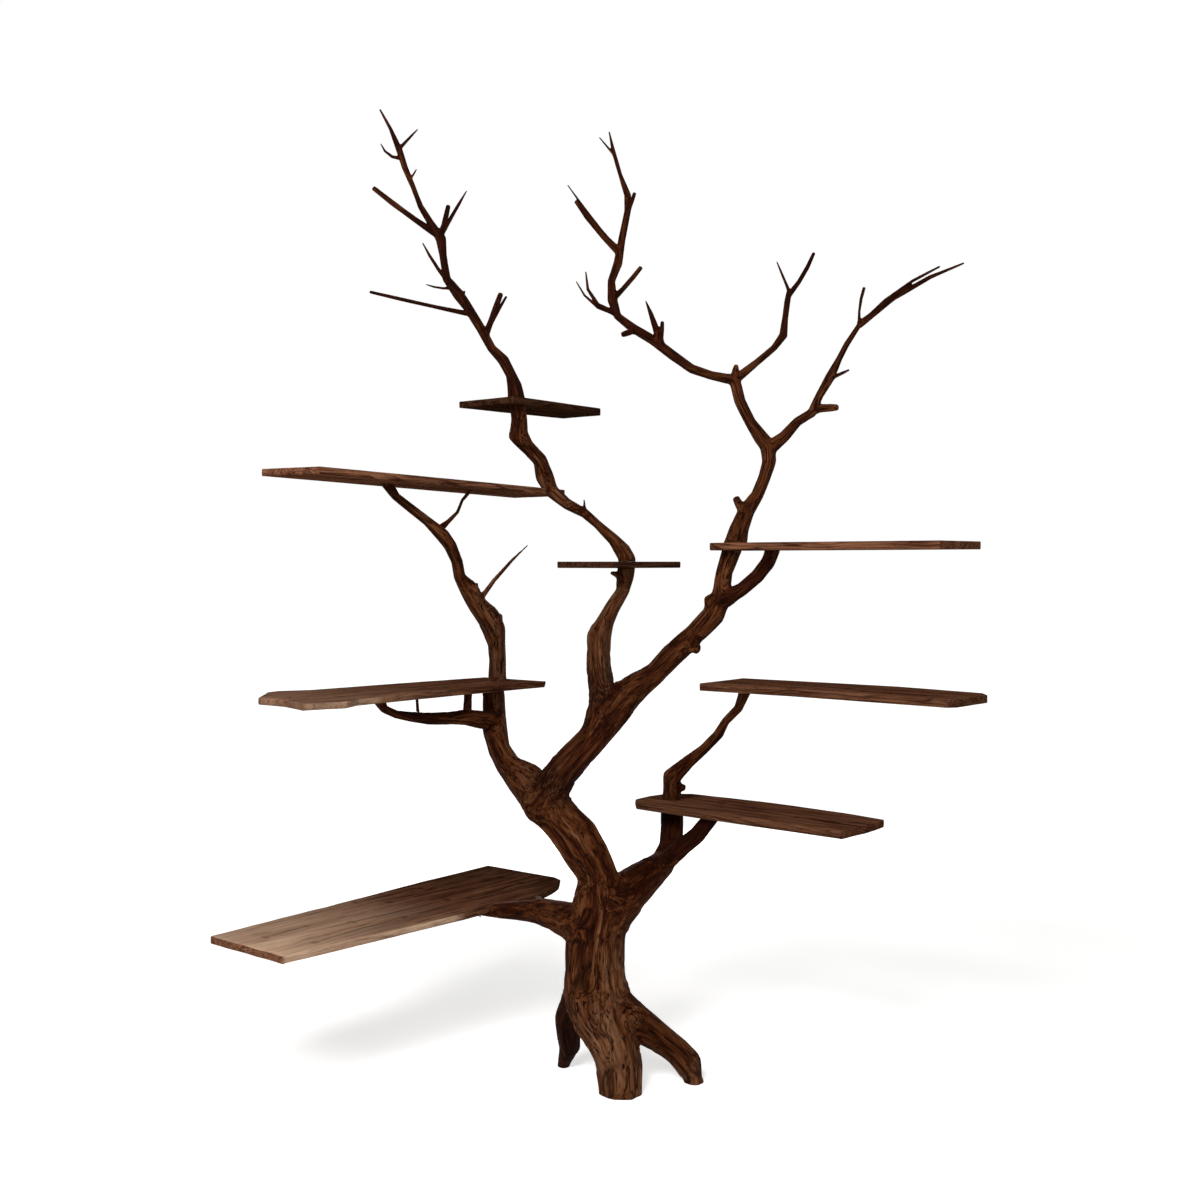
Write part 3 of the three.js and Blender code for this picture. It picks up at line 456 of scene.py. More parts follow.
# Boards with a painted sheen and sapwood: how pale the painted sheen makes the near end, the share
# of the length that it fades over, how pale the sapwood makes the edge to the room, up to what
# share of the length, and how much of the sheen the end grain shows
NO_SAPWOOD_NO_SHEEN = (0, 1, 0, 1, 1)
SAPWOOD_AND_SHEEN = {"board_h": (0.9, 0.6, 0.6, 0.55, 0.05), "board_e": (0.2, 0.7, 0.45, 0.3, 1)}

# How far apart along the same wood the planks are cut, in metres, so that no two are alike
PLANK_SHIFT = 1.37


def crack_lines(board, crack):
    """A crack's bed, its two lips and the two lines that bound its stain, with the bed's depths."""
    start, end, bow, width, depth = crack
    a, b = board.place(start), board.place(end)
    run = b - a
    aside = np.array([-run[1], run[0]]) / np.linalg.norm(run)
    shares = np.linspace(0, 1, 17)
    swell = np.sin(np.pi * shares) ** 0.7
    wander = 0.004 * np.sin(shares * 19 + a[0] * 40) + bow * np.sin(np.pi * shares)
    middle = a + shares[:, None] * run + (wander * np.linalg.norm(run))[:, None] * aside
    half = (swell * width * MM / 2)[:, None] * aside
    stained = half + (swell * CRACK_STAIN * MM)[:, None] * aside
    lips = (middle + half, middle - half)
    return middle, lips, (middle + stained, middle - stained), swell * depth * MM


def board_cap(board, ring, top, settings):
    """Triangles over a board's face: its outline, a loose net of points and its cracks.

    Gives each point's place, how far it lies off the face and whether it is part of a crack.
    """
    points = [tuple(p) for p in ring]
    edges = [(i, (i + 1) % len(ring)) for i in range(len(ring))]
    drops, cracked = {}, set()
    lines = []
    for crack in CRACKS.get(board.node, ()) if top else ():
        bed, lips, bounds, depths = crack_lines(board, crack)
        lines.append(bed)
        first = len(points)
        last = first + len(bed) - 1
        points += [tuple(p) for p in bed]
        drops.update({first + k: depth for k, depth in enumerate(depths) if 0 < k < len(bed) - 1})
        edges += [(first + k, first + k + 1) for k in range(len(bed) - 1)]
        for number, line in enumerate((*lips, *bounds)):
            if number == len(lips):
                cracked.update(range(first, len(points)))
            line_first = len(points)
            points += [tuple(p) for p in line[1:-1]]
            route = [first, *range(line_first, line_first + len(line) - 2), last]
            edges += list(zip(route, route[1:]))
    step = settings.cap_step
    low, high = ring.min(axis=0), ring.max(axis=0)
    net = np.array([
        (x + (row % 2) * step / 2, y)
        for row, y in enumerate(np.arange(low[1] + step / 2, high[1], step * 0.87))
        for x in np.arange(low[0] + step / 2, high[0], step)
    ])
    closed = np.vstack([ring, ring[:1]])
    keep = inside_ring(net, ring) & (distance_to_line(net, closed) > step * 0.4)
    for line in lines:
        keep &= distance_to_line(net, line) > step * 0.5
    points += [tuple(p) for p in net[keep]]
    outline = [tuple(range(len(ring)))]
    made = delaunay_2d_cdt([Vector(p) for p in points], edges, outline, 1, 1e-7)
    places, _, faces, sources = made[:4]
    heights = [-max((drops.get(s, 0) for s in source), default=0) for source in sources]
    dark = [float(any(s in cracked for s in source)) for source in sources]
    return places, heights, dark, faces


def board_edge(board, settings, seed):
    """The rows of a board's edge, from the underside up, and how far each point faces the room.

    A row is its places in the plan and its height.
    """
    ring = resampled(board.outline, settings.outline_step)
    ways = outward_ways(ring)
    live = LIVE_EDGES.get(board.node, 0) * MM
    to_room = np.clip(-ways[:, 1], 0, 1)
    flat = np.concatenate([ring / 0.045, np.zeros((len(ring), 2))], axis=1)
    wander = (grain_noise(flat, seed) - 0.5) * 2 * settings.edge_wander * (1.6 if live else 1)
    rounding = settings.edge_round
    rows = []
    for share, inset in ((0, 1), (0.1, 0.1), (0.4, 0), (0.7, 0), (0.92, 0.1), (1, 1)):
        level = np.full((len(ring), 1), share * 3)
        rough = grain_noise(np.concatenate([ring / 0.012, level, level * 0], axis=1), seed + 5)
        lean = live * (1 - share) ** 1.5 * to_room
        out = wander + (rough - 0.5) * 0.5 * MM - inset * rounding - lean
        rows.append((ring + ways * out[:, None], (share - 0.5) * board.thickness))
    return rows, to_room


def board_piece(node, material, settings, seed):
    """One board: wandering edges, faces with real drying cracks, in the board's own axes."""
    board = Board(node)
    rows, to_room = board_edge(board, settings, seed)
    end_sheen, fade, edge_pale, edge_reach, end_grain = SAPWOOD_AND_SHEEN.get(node, NO_SAPWOOD_NO_SHEEN)
    mesh = bmesh.new()
    grain = mesh.verts.layers.float_vector.new("plank")
    # How pale the sapwood and the painted sheen make each point
    pale = mesh.verts.layers.float.new("pale")
    crack = mesh.verts.layers.float.new("crack")
    stain = mesh.verts.layers.float.new("stain")
    rings = [[mesh.verts.new((x, y, height)) for x, y in plan] for plan, height in rows]
    for ring in rings[1:-1]:
        for vert, share in zip(ring, to_room):
            along = (vert.co.x - board.low[0]) / board.size[0]
            vert[pale] = edge_pale * share * min(1, max(0, (edge_reach - along) / 0.04))
    for low_row, high_row in zip(rings, rings[1:]):
        add_wall(mesh, low_row, high_row)
    for (plan, height), top in ((rows[0], False), (rows[-1], True)):
        places, drops, dark, faces = board_cap(board, plan, top, settings)
        verts = [mesh.verts.new((x, y, height + drop)) for (x, y), drop in zip(places, drops)]
        for vert, share in zip(verts, dark):
            vert[crack] = share
        for face in faces:
            mesh.faces.new([verts[i] for i in (face if top else face[::-1])])
    bmesh.ops.remove_doubles(mesh, verts=mesh.verts, dist=WELD)
    bmesh.ops.recalc_face_normals(mesh, faces=mesh.faces)
    # The stain's strength along the board, which also paints light and shade
    near, far = STAIN_AND_PAINTED_LIGHT[node]
    edge_stain = EDGE_STAIN.get(node, 1)
    for vert in mesh.verts:
        along = (vert.co.x - board.low[0]) / board.size[0]
        on_edge = abs(vert.co.z) < 0.45 * board.thickness
        # The near end is paled as a painted sheen
        end_sheen_share = end_sheen * min(1, max(0, 1 - along / fade)) ** 1.3
        vert[pale] = max(vert[pale], end_sheen_share * (end_grain if on_edge and along < 0.006 else 1))
        held = edge_stain if on_edge and not vert[crack] else 1
        vert[stain] = (near + (far - near) * along) * held
        vert[grain] = vert.co + Vector((seed * PLANK_SHIFT, 0, 0))
    mesh.transform(board.matrix())
    made = mesh_from(mesh, node + "_plank")
    piece = object_from(node + "_plank", made, material)
    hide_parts(node)


def plank_material(settings):
    """Walnut stained plank, sawn, sanded and waxed.

    Sawing shows the year rings as long stripes on the faces and as arcs on the ends, the pores
    hold dark stain, sapwood drinks less of it, and the wax has sunk in and no longer shines. A
    painted sheen pales the near end of some boards, and each board's stain strength also paints
    light and shade.
    """
    material, add = new_material("plank_walnut_stained")
    plank = add("Attribute", attribute_name="plank", out="Vector")
    pale, stain, crack = (
        add("Attribute", attribute_name=name, out="Fac")
        for name in ("pale", "stain", "crack")
    )
    parts = add("SeparateXYZ", {"Vector": plank}).node.outputs

    # Each noise has its width across the grain, its run along it, its detail and its roughness
    noises = []
    for width, run, detail, rough in (
        (60 * MM, 420 * MM, 2.0, 0.5), (9 * MM, 260 * MM, 2.0, 0.5), (30 * MM, 260 * MM, 3.0, 0.6),
        (settings.pore_width, settings.pore_run, 3.0, 0.7), (12 * MM, 160 * MM, 3.0, 0.6),
        (26 * MM, 520 * MM, 2.0, 0.5),
    ):
        place = add("VectorMath", {0: plank, 1: (1 / run, 1 / width, 1 / width)}, operation="MULTIPLY")
        noises.append(add("TexNoise", {
            "Vector": place, "Scale": 1.0, "Detail": detail, "Roughness": rough,
        }))
    sway, ripple, broad, pores, streak, flow = noises

    # The year rings stand round the pith, which lies under the plank
    aside = add("Math", {0: sway, 1: 70 * MM, 2: parts["Y"]}, operation="MULTIPLY_ADD")
    above = add("Math", {0: parts["Z"], 1: 55 * MM}, operation="ADD")
    flat = add("CombineXYZ", {"X": aside, "Y": above})
    radius = add("VectorMath", {0: flat}, operation="LENGTH", out="Value")
    years = add("Math", {0: radius, 1: settings.ring_width}, operation="DIVIDE")
    years = add("Math", {0: ripple, 1: 1.1, 2: years}, operation="MULTIPLY_ADD")
    year = add("Math", {0: years}, operation="FRACT")
    late = add("ValToRGB", {"Fac": year}, stops=(
        (0.0, (0.15, 0.15, 0.15, 1)), (1.0, (0.2, 0.2, 0.2, 1)), (0.75, (0.75, 0.75, 0.75, 1)),
        (0.93, (1, 1, 1, 1)),
    ))
    figure = add("Math", {0: late, 1: 0.3}, operation="MULTIPLY")
    for noise, weight in ((broad, 0.6), (streak, 0.55)):
        figure = add("Math", {0: noise, 1: weight, 2: figure}, operation="MULTIPLY_ADD")
    base = add("ValToRGB", {"Fac": figure}, stops=(
        (0.58, tuple(settings.early)), (0.88, tuple(settings.late)),
    ))
    open_pore = add("MapRange", {"Value": pores, "From Min": 0.53, "From Max": 0.68, "To Max": 0.75})

    # Dark growth lines sweep along the plank where one noise passes its middle
    off = add("Math", {0: flow, 1: 0.5}, operation="SUBTRACT")
    off = add("Math", {0: off}, operation="ABSOLUTE")
    sweep = add("MapRange", {"Value": off, "From Max": 0.024, "To Min": 0.85, "To Max": 0.0})
    dark = add("Math", {0: open_pore, 1: sweep}, operation="MAXIMUM")
    dark = add("Math", {0: dark, 1: crack}, operation="MAXIMUM")
    filled = add("Mix", {0: dark, 6: base, 7: tuple(settings.pore)}, data_type="RGBA", out=2)
    # Scaled by the stain's strength, which also paints light and shade
    stained = add("VectorMath", {0: filled, "Scale": stain}, operation="SCALE")

    # Sapwood and the painted sheen come through in streaks, whole where they are palest
    ragged = add("Math", {0: streak, 1: 1.2, 2: -1.4}, operation="MULTIPLY_ADD")
    ragged = add("Math", {0: sway, 1: 1.6, 2: ragged}, operation="MULTIPLY_ADD")
    ragged = add("Math", {0: ragged, 1: pale, 2: pale}, operation="MULTIPLY_ADD", use_clamp=True)
    kept = add("Math", {0: dark, 1: -0.55, 2: 1.0}, operation="MULTIPLY_ADD")
    ragged = add("Math", {0: ragged, 1: kept}, operation="MULTIPLY")
    sap_and_sheen = add("Mix", {0: ragged, 6: stained, 7: tuple(settings.sapwood_and_sheen)}, data_type="RGBA", out=2)
    lift = add("Math", {0: late, 1: 0.25}, operation="MULTIPLY")
    height = add("Math", {0: lift, 1: open_pore}, operation="SUBTRACT")
    bump = add("Bump", {"Height": height, "Distance": 0.35 * MM, "Strength": 1.0})
    rough = add("MapRange", {"Value": figure, "To Min": 0.45, "To Max": 0.65})
    shader = add("BsdfPrincipled", {
        "Base Color": sap_and_sheen, "Roughness": rough, "Normal": bump, "Specular IOR Level": 0.0,
    })
    add("OutputMaterial", {"Surface": shader})
    return material


# Limb wood

# A limb's flat end is carried on past its cut before the skin is made, and sawn back to it after:
# from this far inside the wood to this far past a board's face or the floor
PLUG_INSIDE, PLUG_PAST_BOARD, PLUG_PAST_FLOOR = -2 * MM, 10 * MM, 30 * MM

# Lumps of wood smaller than this are crumbs, in cubic metres
CRUMB = 3e-7

# The skin is rounded by averages over neighbours: the share that each round takes up, the most
# rounds, and how much of the girth is then given back
WIDEST_LIMB = 90 * MM
ROUNDING = 0.8
MOST_ROUNDS = 160
GIVEN_BACK = 1.045

# Limbs stop this far short of a board's faces and this far beside its edge
SAW_GAP, SAW_BESIDE = 0.1 * MM, 2 * MM

# A limb's stain tone, with its painted light and shade, goes from its low value to its high one
# over this height at most
LIMB_TONE_HEIGHT = 0.4


def flat_ends(node, planes):
    """Groups of a node's flat end faces on known planes: the plane, its way and their corners."""
    mesh = welded(node)
    found = []
    for plane, (point, way) in planes.items():
        flat = {
            f for f in mesh.faces
            if f.normal.dot(way) > 0.9995 and all(abs((v.co - point).dot(way)) < 0.6 * MM for v in f.verts)
        }
        while flat:
            group, reach = set(), [flat.pop()]
            while reach:
                face = reach.pop()
                group.add(face)
                near = {f for e in face.edges for f in e.link_faces if f in flat}
                flat -= near
                reach += list(near)
            if sum(f.calc_area() for f in group) > 20 * MM * MM:
                found.append((plane, way, [v.co.copy() for f in group for v in f.verts]))
    mesh.free()
    return found


def plug_mesh(corners, way, reach):
    """A short closed plug that carries a flat end on past its cut."""
    hull = bmesh.new()
    verts = [hull.verts.new(c + way * far) for far in (PLUG_INSIDE, reach) for c in corners]
    bmesh.ops.convex_hull(hull, input=verts, use_existing_faces=False)
    loose = [v for v in hull.verts if not v.link_faces]
    bmesh.ops.delete(hull, geom=loose, context="VERTS")
    return mesh_from(hull, "plug")


def rough_wood(nodes, planes, skin):
    """The CAD limbs joined over their grafts and cuts, as one fine even skin."""
    whole = bmesh.new()
    for node in nodes:
        whole.from_mesh(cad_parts[node].data)
    for node in nodes:
        for plane, way, corners in flat_ends(node, planes):
            reach = PLUG_PAST_FLOOR if plane == "floor" else PLUG_PAST_BOARD
            plug = plug_mesh(corners, way, reach)
            whole.from_mesh(plug)
            bpy.data.meshes.remove(plug)
    bmesh.ops.remove_doubles(whole, verts=whole.verts, dist=WELD)
    holder = add_object("rough_wood", mesh_from(whole, "rough_wood"))
    remesh = holder.modifiers.new("skin", "REMESH")
    remesh.mode = "VOXEL"
    remesh.voxel_size = skin
    made = evaluated(holder, "rough_skin")
    bpy.data.objects.remove(holder)
    places, faces = mesh_arrays(made)
    bpy.data.meshes.remove(made)
    return places, faces


def edges_of(faces):
    """Each edge of the faces once, as two columns of points."""
    pairs = [(f[k], f[(k + 1) % len(f)]) for f in faces for k in range(len(f))]
    pairs = np.sort(np.array(pairs), axis=1)
    return np.unique(pairs, axis=0)


class Skin:
    """An even net over the wood, with averages over neighbours."""

    def __init__(self, places, faces):
        self.places, self.faces = places, faces
        self.quads = np.array([f if len(f) == 4 else (*f, f[-1]) for f in faces])
        self.edges = edges_of(faces)
        both = np.concatenate([self.edges, self.edges[:, ::-1]])
        both = both[np.argsort(both[:, 0], kind="stable")]
        self.near = both[:, 1]
        self.count = np.bincount(both[:, 0], minlength=len(places)).astype(float)
        self.first = np.concatenate([[0], np.cumsum(self.count)[:-1]]).astype(int)

    def around(self, values):
        """The mean of each point's neighbours."""
        columns = values.reshape(len(values), -1).T
        total = np.stack([np.add.reduceat(column[self.near], self.first) for column in columns], axis=1)
        return (total / self.count[:, None]).reshape(values.shape)

    def without_crumbs(self):
        """The same net without the hollows inside the wood and without crumbs."""
        head = np.arange(len(self.places))
        before = None
        while before is None or (head != before).any():
            before = head
            head = np.minimum(head, np.minimum.reduceat(head[self.near], self.first))
            head = head[head]
        a, b, c, d = (self.places[self.quads[:, k]] for k in range(4))
        held = (a * (np.cross(b, c) + np.cross(c, d))).sum(axis=1) / 6
        kept = (np.bincount(head[self.quads[:, 0]], held, len(head)) > CRUMB)[head]
        if kept.all():
            return self
        new_place = np.cumsum(kept) - 1
        faces = [tuple(new_place[list(f)].tolist()) for f in self.faces if kept[f[0]]]
        return Skin(self.places[kept], faces)

    def settled(self, values, rounds, share=0.5):
        """Values after rounds that each take up a share of the neighbours' mean."""
        for _ in range(rounds):
            values = values + share * (self.around(values) - values)
        return values

    def normals(self):
        """The way out of the wood at each point."""
        a, b, c, d = (self.places[self.quads[:, k]] for k in range(4))
        face_way = np.cross(c - a, d - b)
        total = np.stack([
            sum(np.bincount(self.quads[:, k], face_way[:, axis], len(self.places)) for k in range(4))
            for axis in range(3)
        ], axis=1)
        return total / (np.linalg.norm(total, axis=1)[:, None] + 1e-15)


def heart_of(skin, widest):
    """For each point of the skin, the limb's middle beside it and the limb's radius there."""
    tree = BVHTree.FromPolygons([tuple(p) for p in skin.places], skin.faces)
    ways = -skin.normals()
    reach = np.full(len(skin.places), widest)
    for k, (place, way) in enumerate(zip(skin.places, ways)):
        way = Vector(way)
        hit = tree.ray_cast(Vector(place) + way * 0.0004, way, 2 * widest)
        if hit[3] is not None:
            reach[k] = max(hit[3], 0.002) / 2
    weight = 1 / reach ** 3
    middle = skin.places + ways * reach[:, None]
    weighted = np.concatenate([middle, reach[:, None], np.ones((len(reach), 1))], axis=1) * weight[:, None]
    weighted = skin.settled(weighted, 94, ROUNDING)
    weighted /= weighted[:, 4:5]
    return weighted[:, :3], weighted[:, 3]


def run_along(skin, start):
    """How far each point lies from a start, along the skin."""
    lengths = np.linalg.norm(skin.places[skin.edges[:, 0]] - skin.places[skin.edges[:, 1]], axis=1)
    links = [[] for _ in skin.places]
    for (a, b), span in zip(skin.edges.tolist(), lengths.tolist()):
        links[a].append((b, span))
        links[b].append((a, span))
    far = [math.inf] * len(links)
    order = np.argsort(np.linalg.norm(skin.places - start, axis=1)).tolist()
    for seed in order:
        if far[seed] < math.inf:
            continue
        base = float(np.linalg.norm(skin.places[seed] - start))
        far[seed] = base
        heap = [(base, seed)]
        while heap:
            here, point = heapq.heappop(heap)
            if here > far[point]:
                continue
            for other, span in links[point]:
                if here + span < far[other]:
                    far[other] = here + span
                    heapq.heappush(heap, (here + span, other))
    return skin.settled(np.array(far), 12)


def carved_wood(nodes, planes, settings, skin_size):
    """The joined limbs, rounded, fluted and grooved along their grain."""
    skin = Skin(*rough_wood(nodes, planes, skin_size)).without_crumbs()
    skin.places = skin.settled(skin.places, 2)
    heart, radius = heart_of(skin, WIDEST_LIMB)
    widest = radius.max()
    share = ROUNDING * np.minimum(1, (radius / widest) ** 2)[:, None]
    rounds = int(min(MOST_ROUNDS, 2 * (0.34 * widest) ** 2 / (ROUNDING * skin_size ** 2)))
    skin.places = skin.settled(skin.places, max(4, rounds), share)
    skin.places = heart + (skin.places - heart) * GIVEN_BACK
    run = run_along(skin, np.zeros(3))
    side = skin.places - heart
    ways = skin.normals()

    # The noise follows the grain: it is fine round the limb and drawn out along it
    noises = []
    for spacing, reach, seed in (
        (27 * MM, 160 * MM, 3), (settings.flute_spacing, 350 * MM, 7),
        (settings.groove_spacing, settings.groove_run, 11),
        (settings.groove_spacing * 0.6, settings.groove_run * 0.6, 13), (50 * MM, 200 * MM, 17),
    ):
        along = (run / reach)[:, None]
        noises.append(grain_noise(np.concatenate([side / spacing, along], axis=1), seed))
    lumps, muscles, wide, fine, patchy = noises
    flutes = 1 - np.abs(2 * muscles - 1)
    patch = np.clip((patchy - 0.35) * 3, 0, 1)
    groove = np.clip((0.28 - np.abs(2 * wide - 1)) / 0.28, 0, 1) * (0.35 + 0.65 * patch)
    small = np.clip((0.24 - np.abs(2 * fine - 1)) / 0.24, 0, 1) * (1 - 0.5 * patch)
    groove = np.maximum(groove, 0.6 * small)
    crotch = np.zeros(len(run))
    for dowel in CROTCH_DOWELS:
        low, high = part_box(dowel)
        away = np.linalg.norm(skin.places - np.array((low + high) / 2), axis=1)
        crotch = np.maximum(crotch, np.clip(1.6 - away / 0.065, 0, 1))
    knobs = grain_noise(np.concatenate([skin.places / 0.011, (run / 0.05)[:, None]], axis=1), 23)
    stout = np.clip(radius / (30 * MM), 0.12, 1)
    push = (
        (lumps - 0.5) * radius * 0.1
        + (flutes - 0.5) * radius * 0.13 * np.clip(radius / (35 * MM), 0, 1)
        - groove * settings.groove_depth * stout * (1 + 0.6 * crotch)
        + (knobs - 0.5) * crotch * 6 * MM
    )
    relief = np.clip((push - skin.settled(push, 30)) / (1.6 * MM * stout), -1, 1)
    skin.places = skin.places + ways * push[:, None]
    attributes = {
        "grain_side": side, "grain_run": run, "groove": groove, "crotch": crotch, "relief": relief,
    }
    return skin, attributes


def labels_of(skin, nodes):
    """For each face of the skin, the number of the CAD node that it covers."""
    points, faces, owner = [], [], []
    for number, node in enumerate(nodes):
        first = len(points)
        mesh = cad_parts[node].data
        points += [v.co.copy() for v in mesh.vertices]
        faces += [[first + i for i in p.vertices] for p in mesh.polygons]
        owner += [number] * len(mesh.polygons)
    tree = BVHTree.FromPolygons(points, faces)
    middles = np.array([skin.places[list(f)].mean(axis=0) for f in skin.faces])
    labels = np.array([owner[tree.find_nearest(Vector(m))[2]] for m in middles])
    return calmed(skin, labels, len(nodes))


def calmed(skin, labels, kinds, rounds=8):
    """Labels after a vote among each face's neighbours, so that the pieces have clean rims."""
    corner = np.concatenate([list(f) for f in skin.faces])
    owner = np.repeat(np.arange(len(skin.faces)), [len(f) for f in skin.faces])
    for _ in range(rounds):
        best = np.full(len(labels), -1.0)
        chosen = labels.copy()
        for kind in range(kinds):
            at_point = np.bincount(corner, (labels == kind)[owner], len(skin.places))
            votes = np.bincount(owner, at_point[corner], len(labels))
            better = votes > best
            best[better] = votes[better]
            chosen[better] = kind
        labels = chosen
    return labels


def open_rims(faces):
    """The open rims of some faces, each as a list of its edges."""
    half = {(f[k], f[(k + 1) % len(f)]) for f in faces for k in range(len(f))}
    rim = [(a, b) for a, b in half if (b, a) not in half]
    group = {}

    def head(point):
        while group.setdefault(point, point) != point:
            group[point] = group[group[point]]
            point = group[point]
        return point

    for a, b in rim:
        group[head(a)] = head(b)
    rims = {}
    for a, b in rim:
        rims.setdefault(head(a), []).append((a, b))
    return list(rims.values())


def closed_wood(skin, attributes, faces):
    """Some faces of the skin, closed by a fan over each open rim, with their attributes."""
    used = sorted({i for f in faces for i in f})
    new_place = {old: new for new, old in enumerate(used)}
    places = list(skin.places[used])
    values = {key: list(value[used]) for key, value in attributes.items()}
    made = [tuple(new_place[i] for i in f) for f in faces]
    for rim in open_rims(faces):
        middle = len(places)
        corners = [a for a, _ in rim]
        places.append(skin.places[corners].mean(axis=0))
        for key, value in attributes.items():
            values[key].append(value[corners].mean(axis=0))
        made += [(new_place[b], new_place[a], middle) for a, b in rim]
    return np.array(places), made, {key: np.array(value) for key, value in values.items()}


def cutter_for(board, grow, aside):
    """A plain slab over a board, for cutting limbs where they meet it."""
    ring = board.outline + outward_ways(board.outline) * aside
    mesh = bmesh.new()
    half = board.thickness / 2 + grow
    low = [mesh.verts.new((x, y, -half)) for x, y in ring]
    high = [mesh.verts.new((x, y, half)) for x, y in ring]
    mesh.faces.new(low[::-1])
    mesh.faces.new(high)
    add_wall(mesh, low, high)
    bmesh.ops.triangulate(mesh, faces=mesh.faces)
    mesh.transform(board.matrix())
    return add_object("slab", mesh_from(mesh, "slab"))


def saw_at_boards(piece, node, boards, slabs):
    """Cuts a limb's piece away where it would run into boards."""
    low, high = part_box(node)
    for board in boards:
        board_low, board_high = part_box(board.node)
        near = all(low[k] < board_high[k] + 0.01 and high[k] > board_low[k] - 0.01 for k in range(3))
        if near:
            cut = piece.modifiers.new(board.node, "BOOLEAN")
            cut.operation = "DIFFERENCE"
            cut.object = slabs[board.node]
            cut.solver = "MANIFOLD"
    if len(piece.modifiers):
        piece.data = evaluated(piece, piece.name)
        piece.modifiers.clear()


def saw_at_floor(mesh):
    """Saws a mesh flat where it meets the floor."""
    cut = bmesh.new()
    cut.from_mesh(mesh)
    made = bmesh.ops.bisect_plane(
        cut, geom=cut.verts[:] + cut.edges[:] + cut.faces[:], plane_co=(0, 0, 0),
        plane_no=(0, 0, -1), clear_outer=True,
    )
    edges = [e for e in made["geom_cut"] if isinstance(e, bmesh.types.BMEdge)]
    if edges:
        bmesh.ops.triangle_fill(cut, use_beauty=True, edges=edges)
        bmesh.ops.recalc_face_normals(cut, faces=cut.faces)
    cut.to_mesh(mesh)
    cut.free()


def limb_pieces(nodes, boards, planes, settings, skin_size, material):
    """One closed piece of wood for each CAD limb, cut where it meets boards and the floor."""
    skin, attributes = carved_wood(nodes, planes, settings, skin_size)
    labels = labels_of(skin, nodes)
    slabs = {board.node: cutter_for(board, SAW_GAP, SAW_BESIDE) for board in boards}
    for number, node in enumerate(nodes):
        faces = [skin.faces[k] for k in np.flatnonzero(labels == number)]
        places, faces, values = closed_wood(skin, attributes, faces)
        low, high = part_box(node)
        # Each limb's stain tone from the table, partly painted light and shade, from its low value to its
        # high one
        height = np.clip((places[:, 2] - low.z) / min(high.z - low.z, LIMB_TONE_HEIGHT), 0, 1)
        low_tone_and_light, high_tone_and_light = LIMB_TONE_AND_PAINTED_LIGHT.get(node, (0, 0))
        values["worn"] = low_tone_and_light + (high_tone_and_light - low_tone_and_light) * height
        piece = piece_from(node + "_wood", places, faces, material, values)
        saw_at_boards(piece, node, boards, slabs)
        if low.z < 1 * MM:
            saw_at_floor(piece.data)
        shade(piece.data)
        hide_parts(node)
    for slab in slabs.values():
        bpy.data.objects.remove(slab)


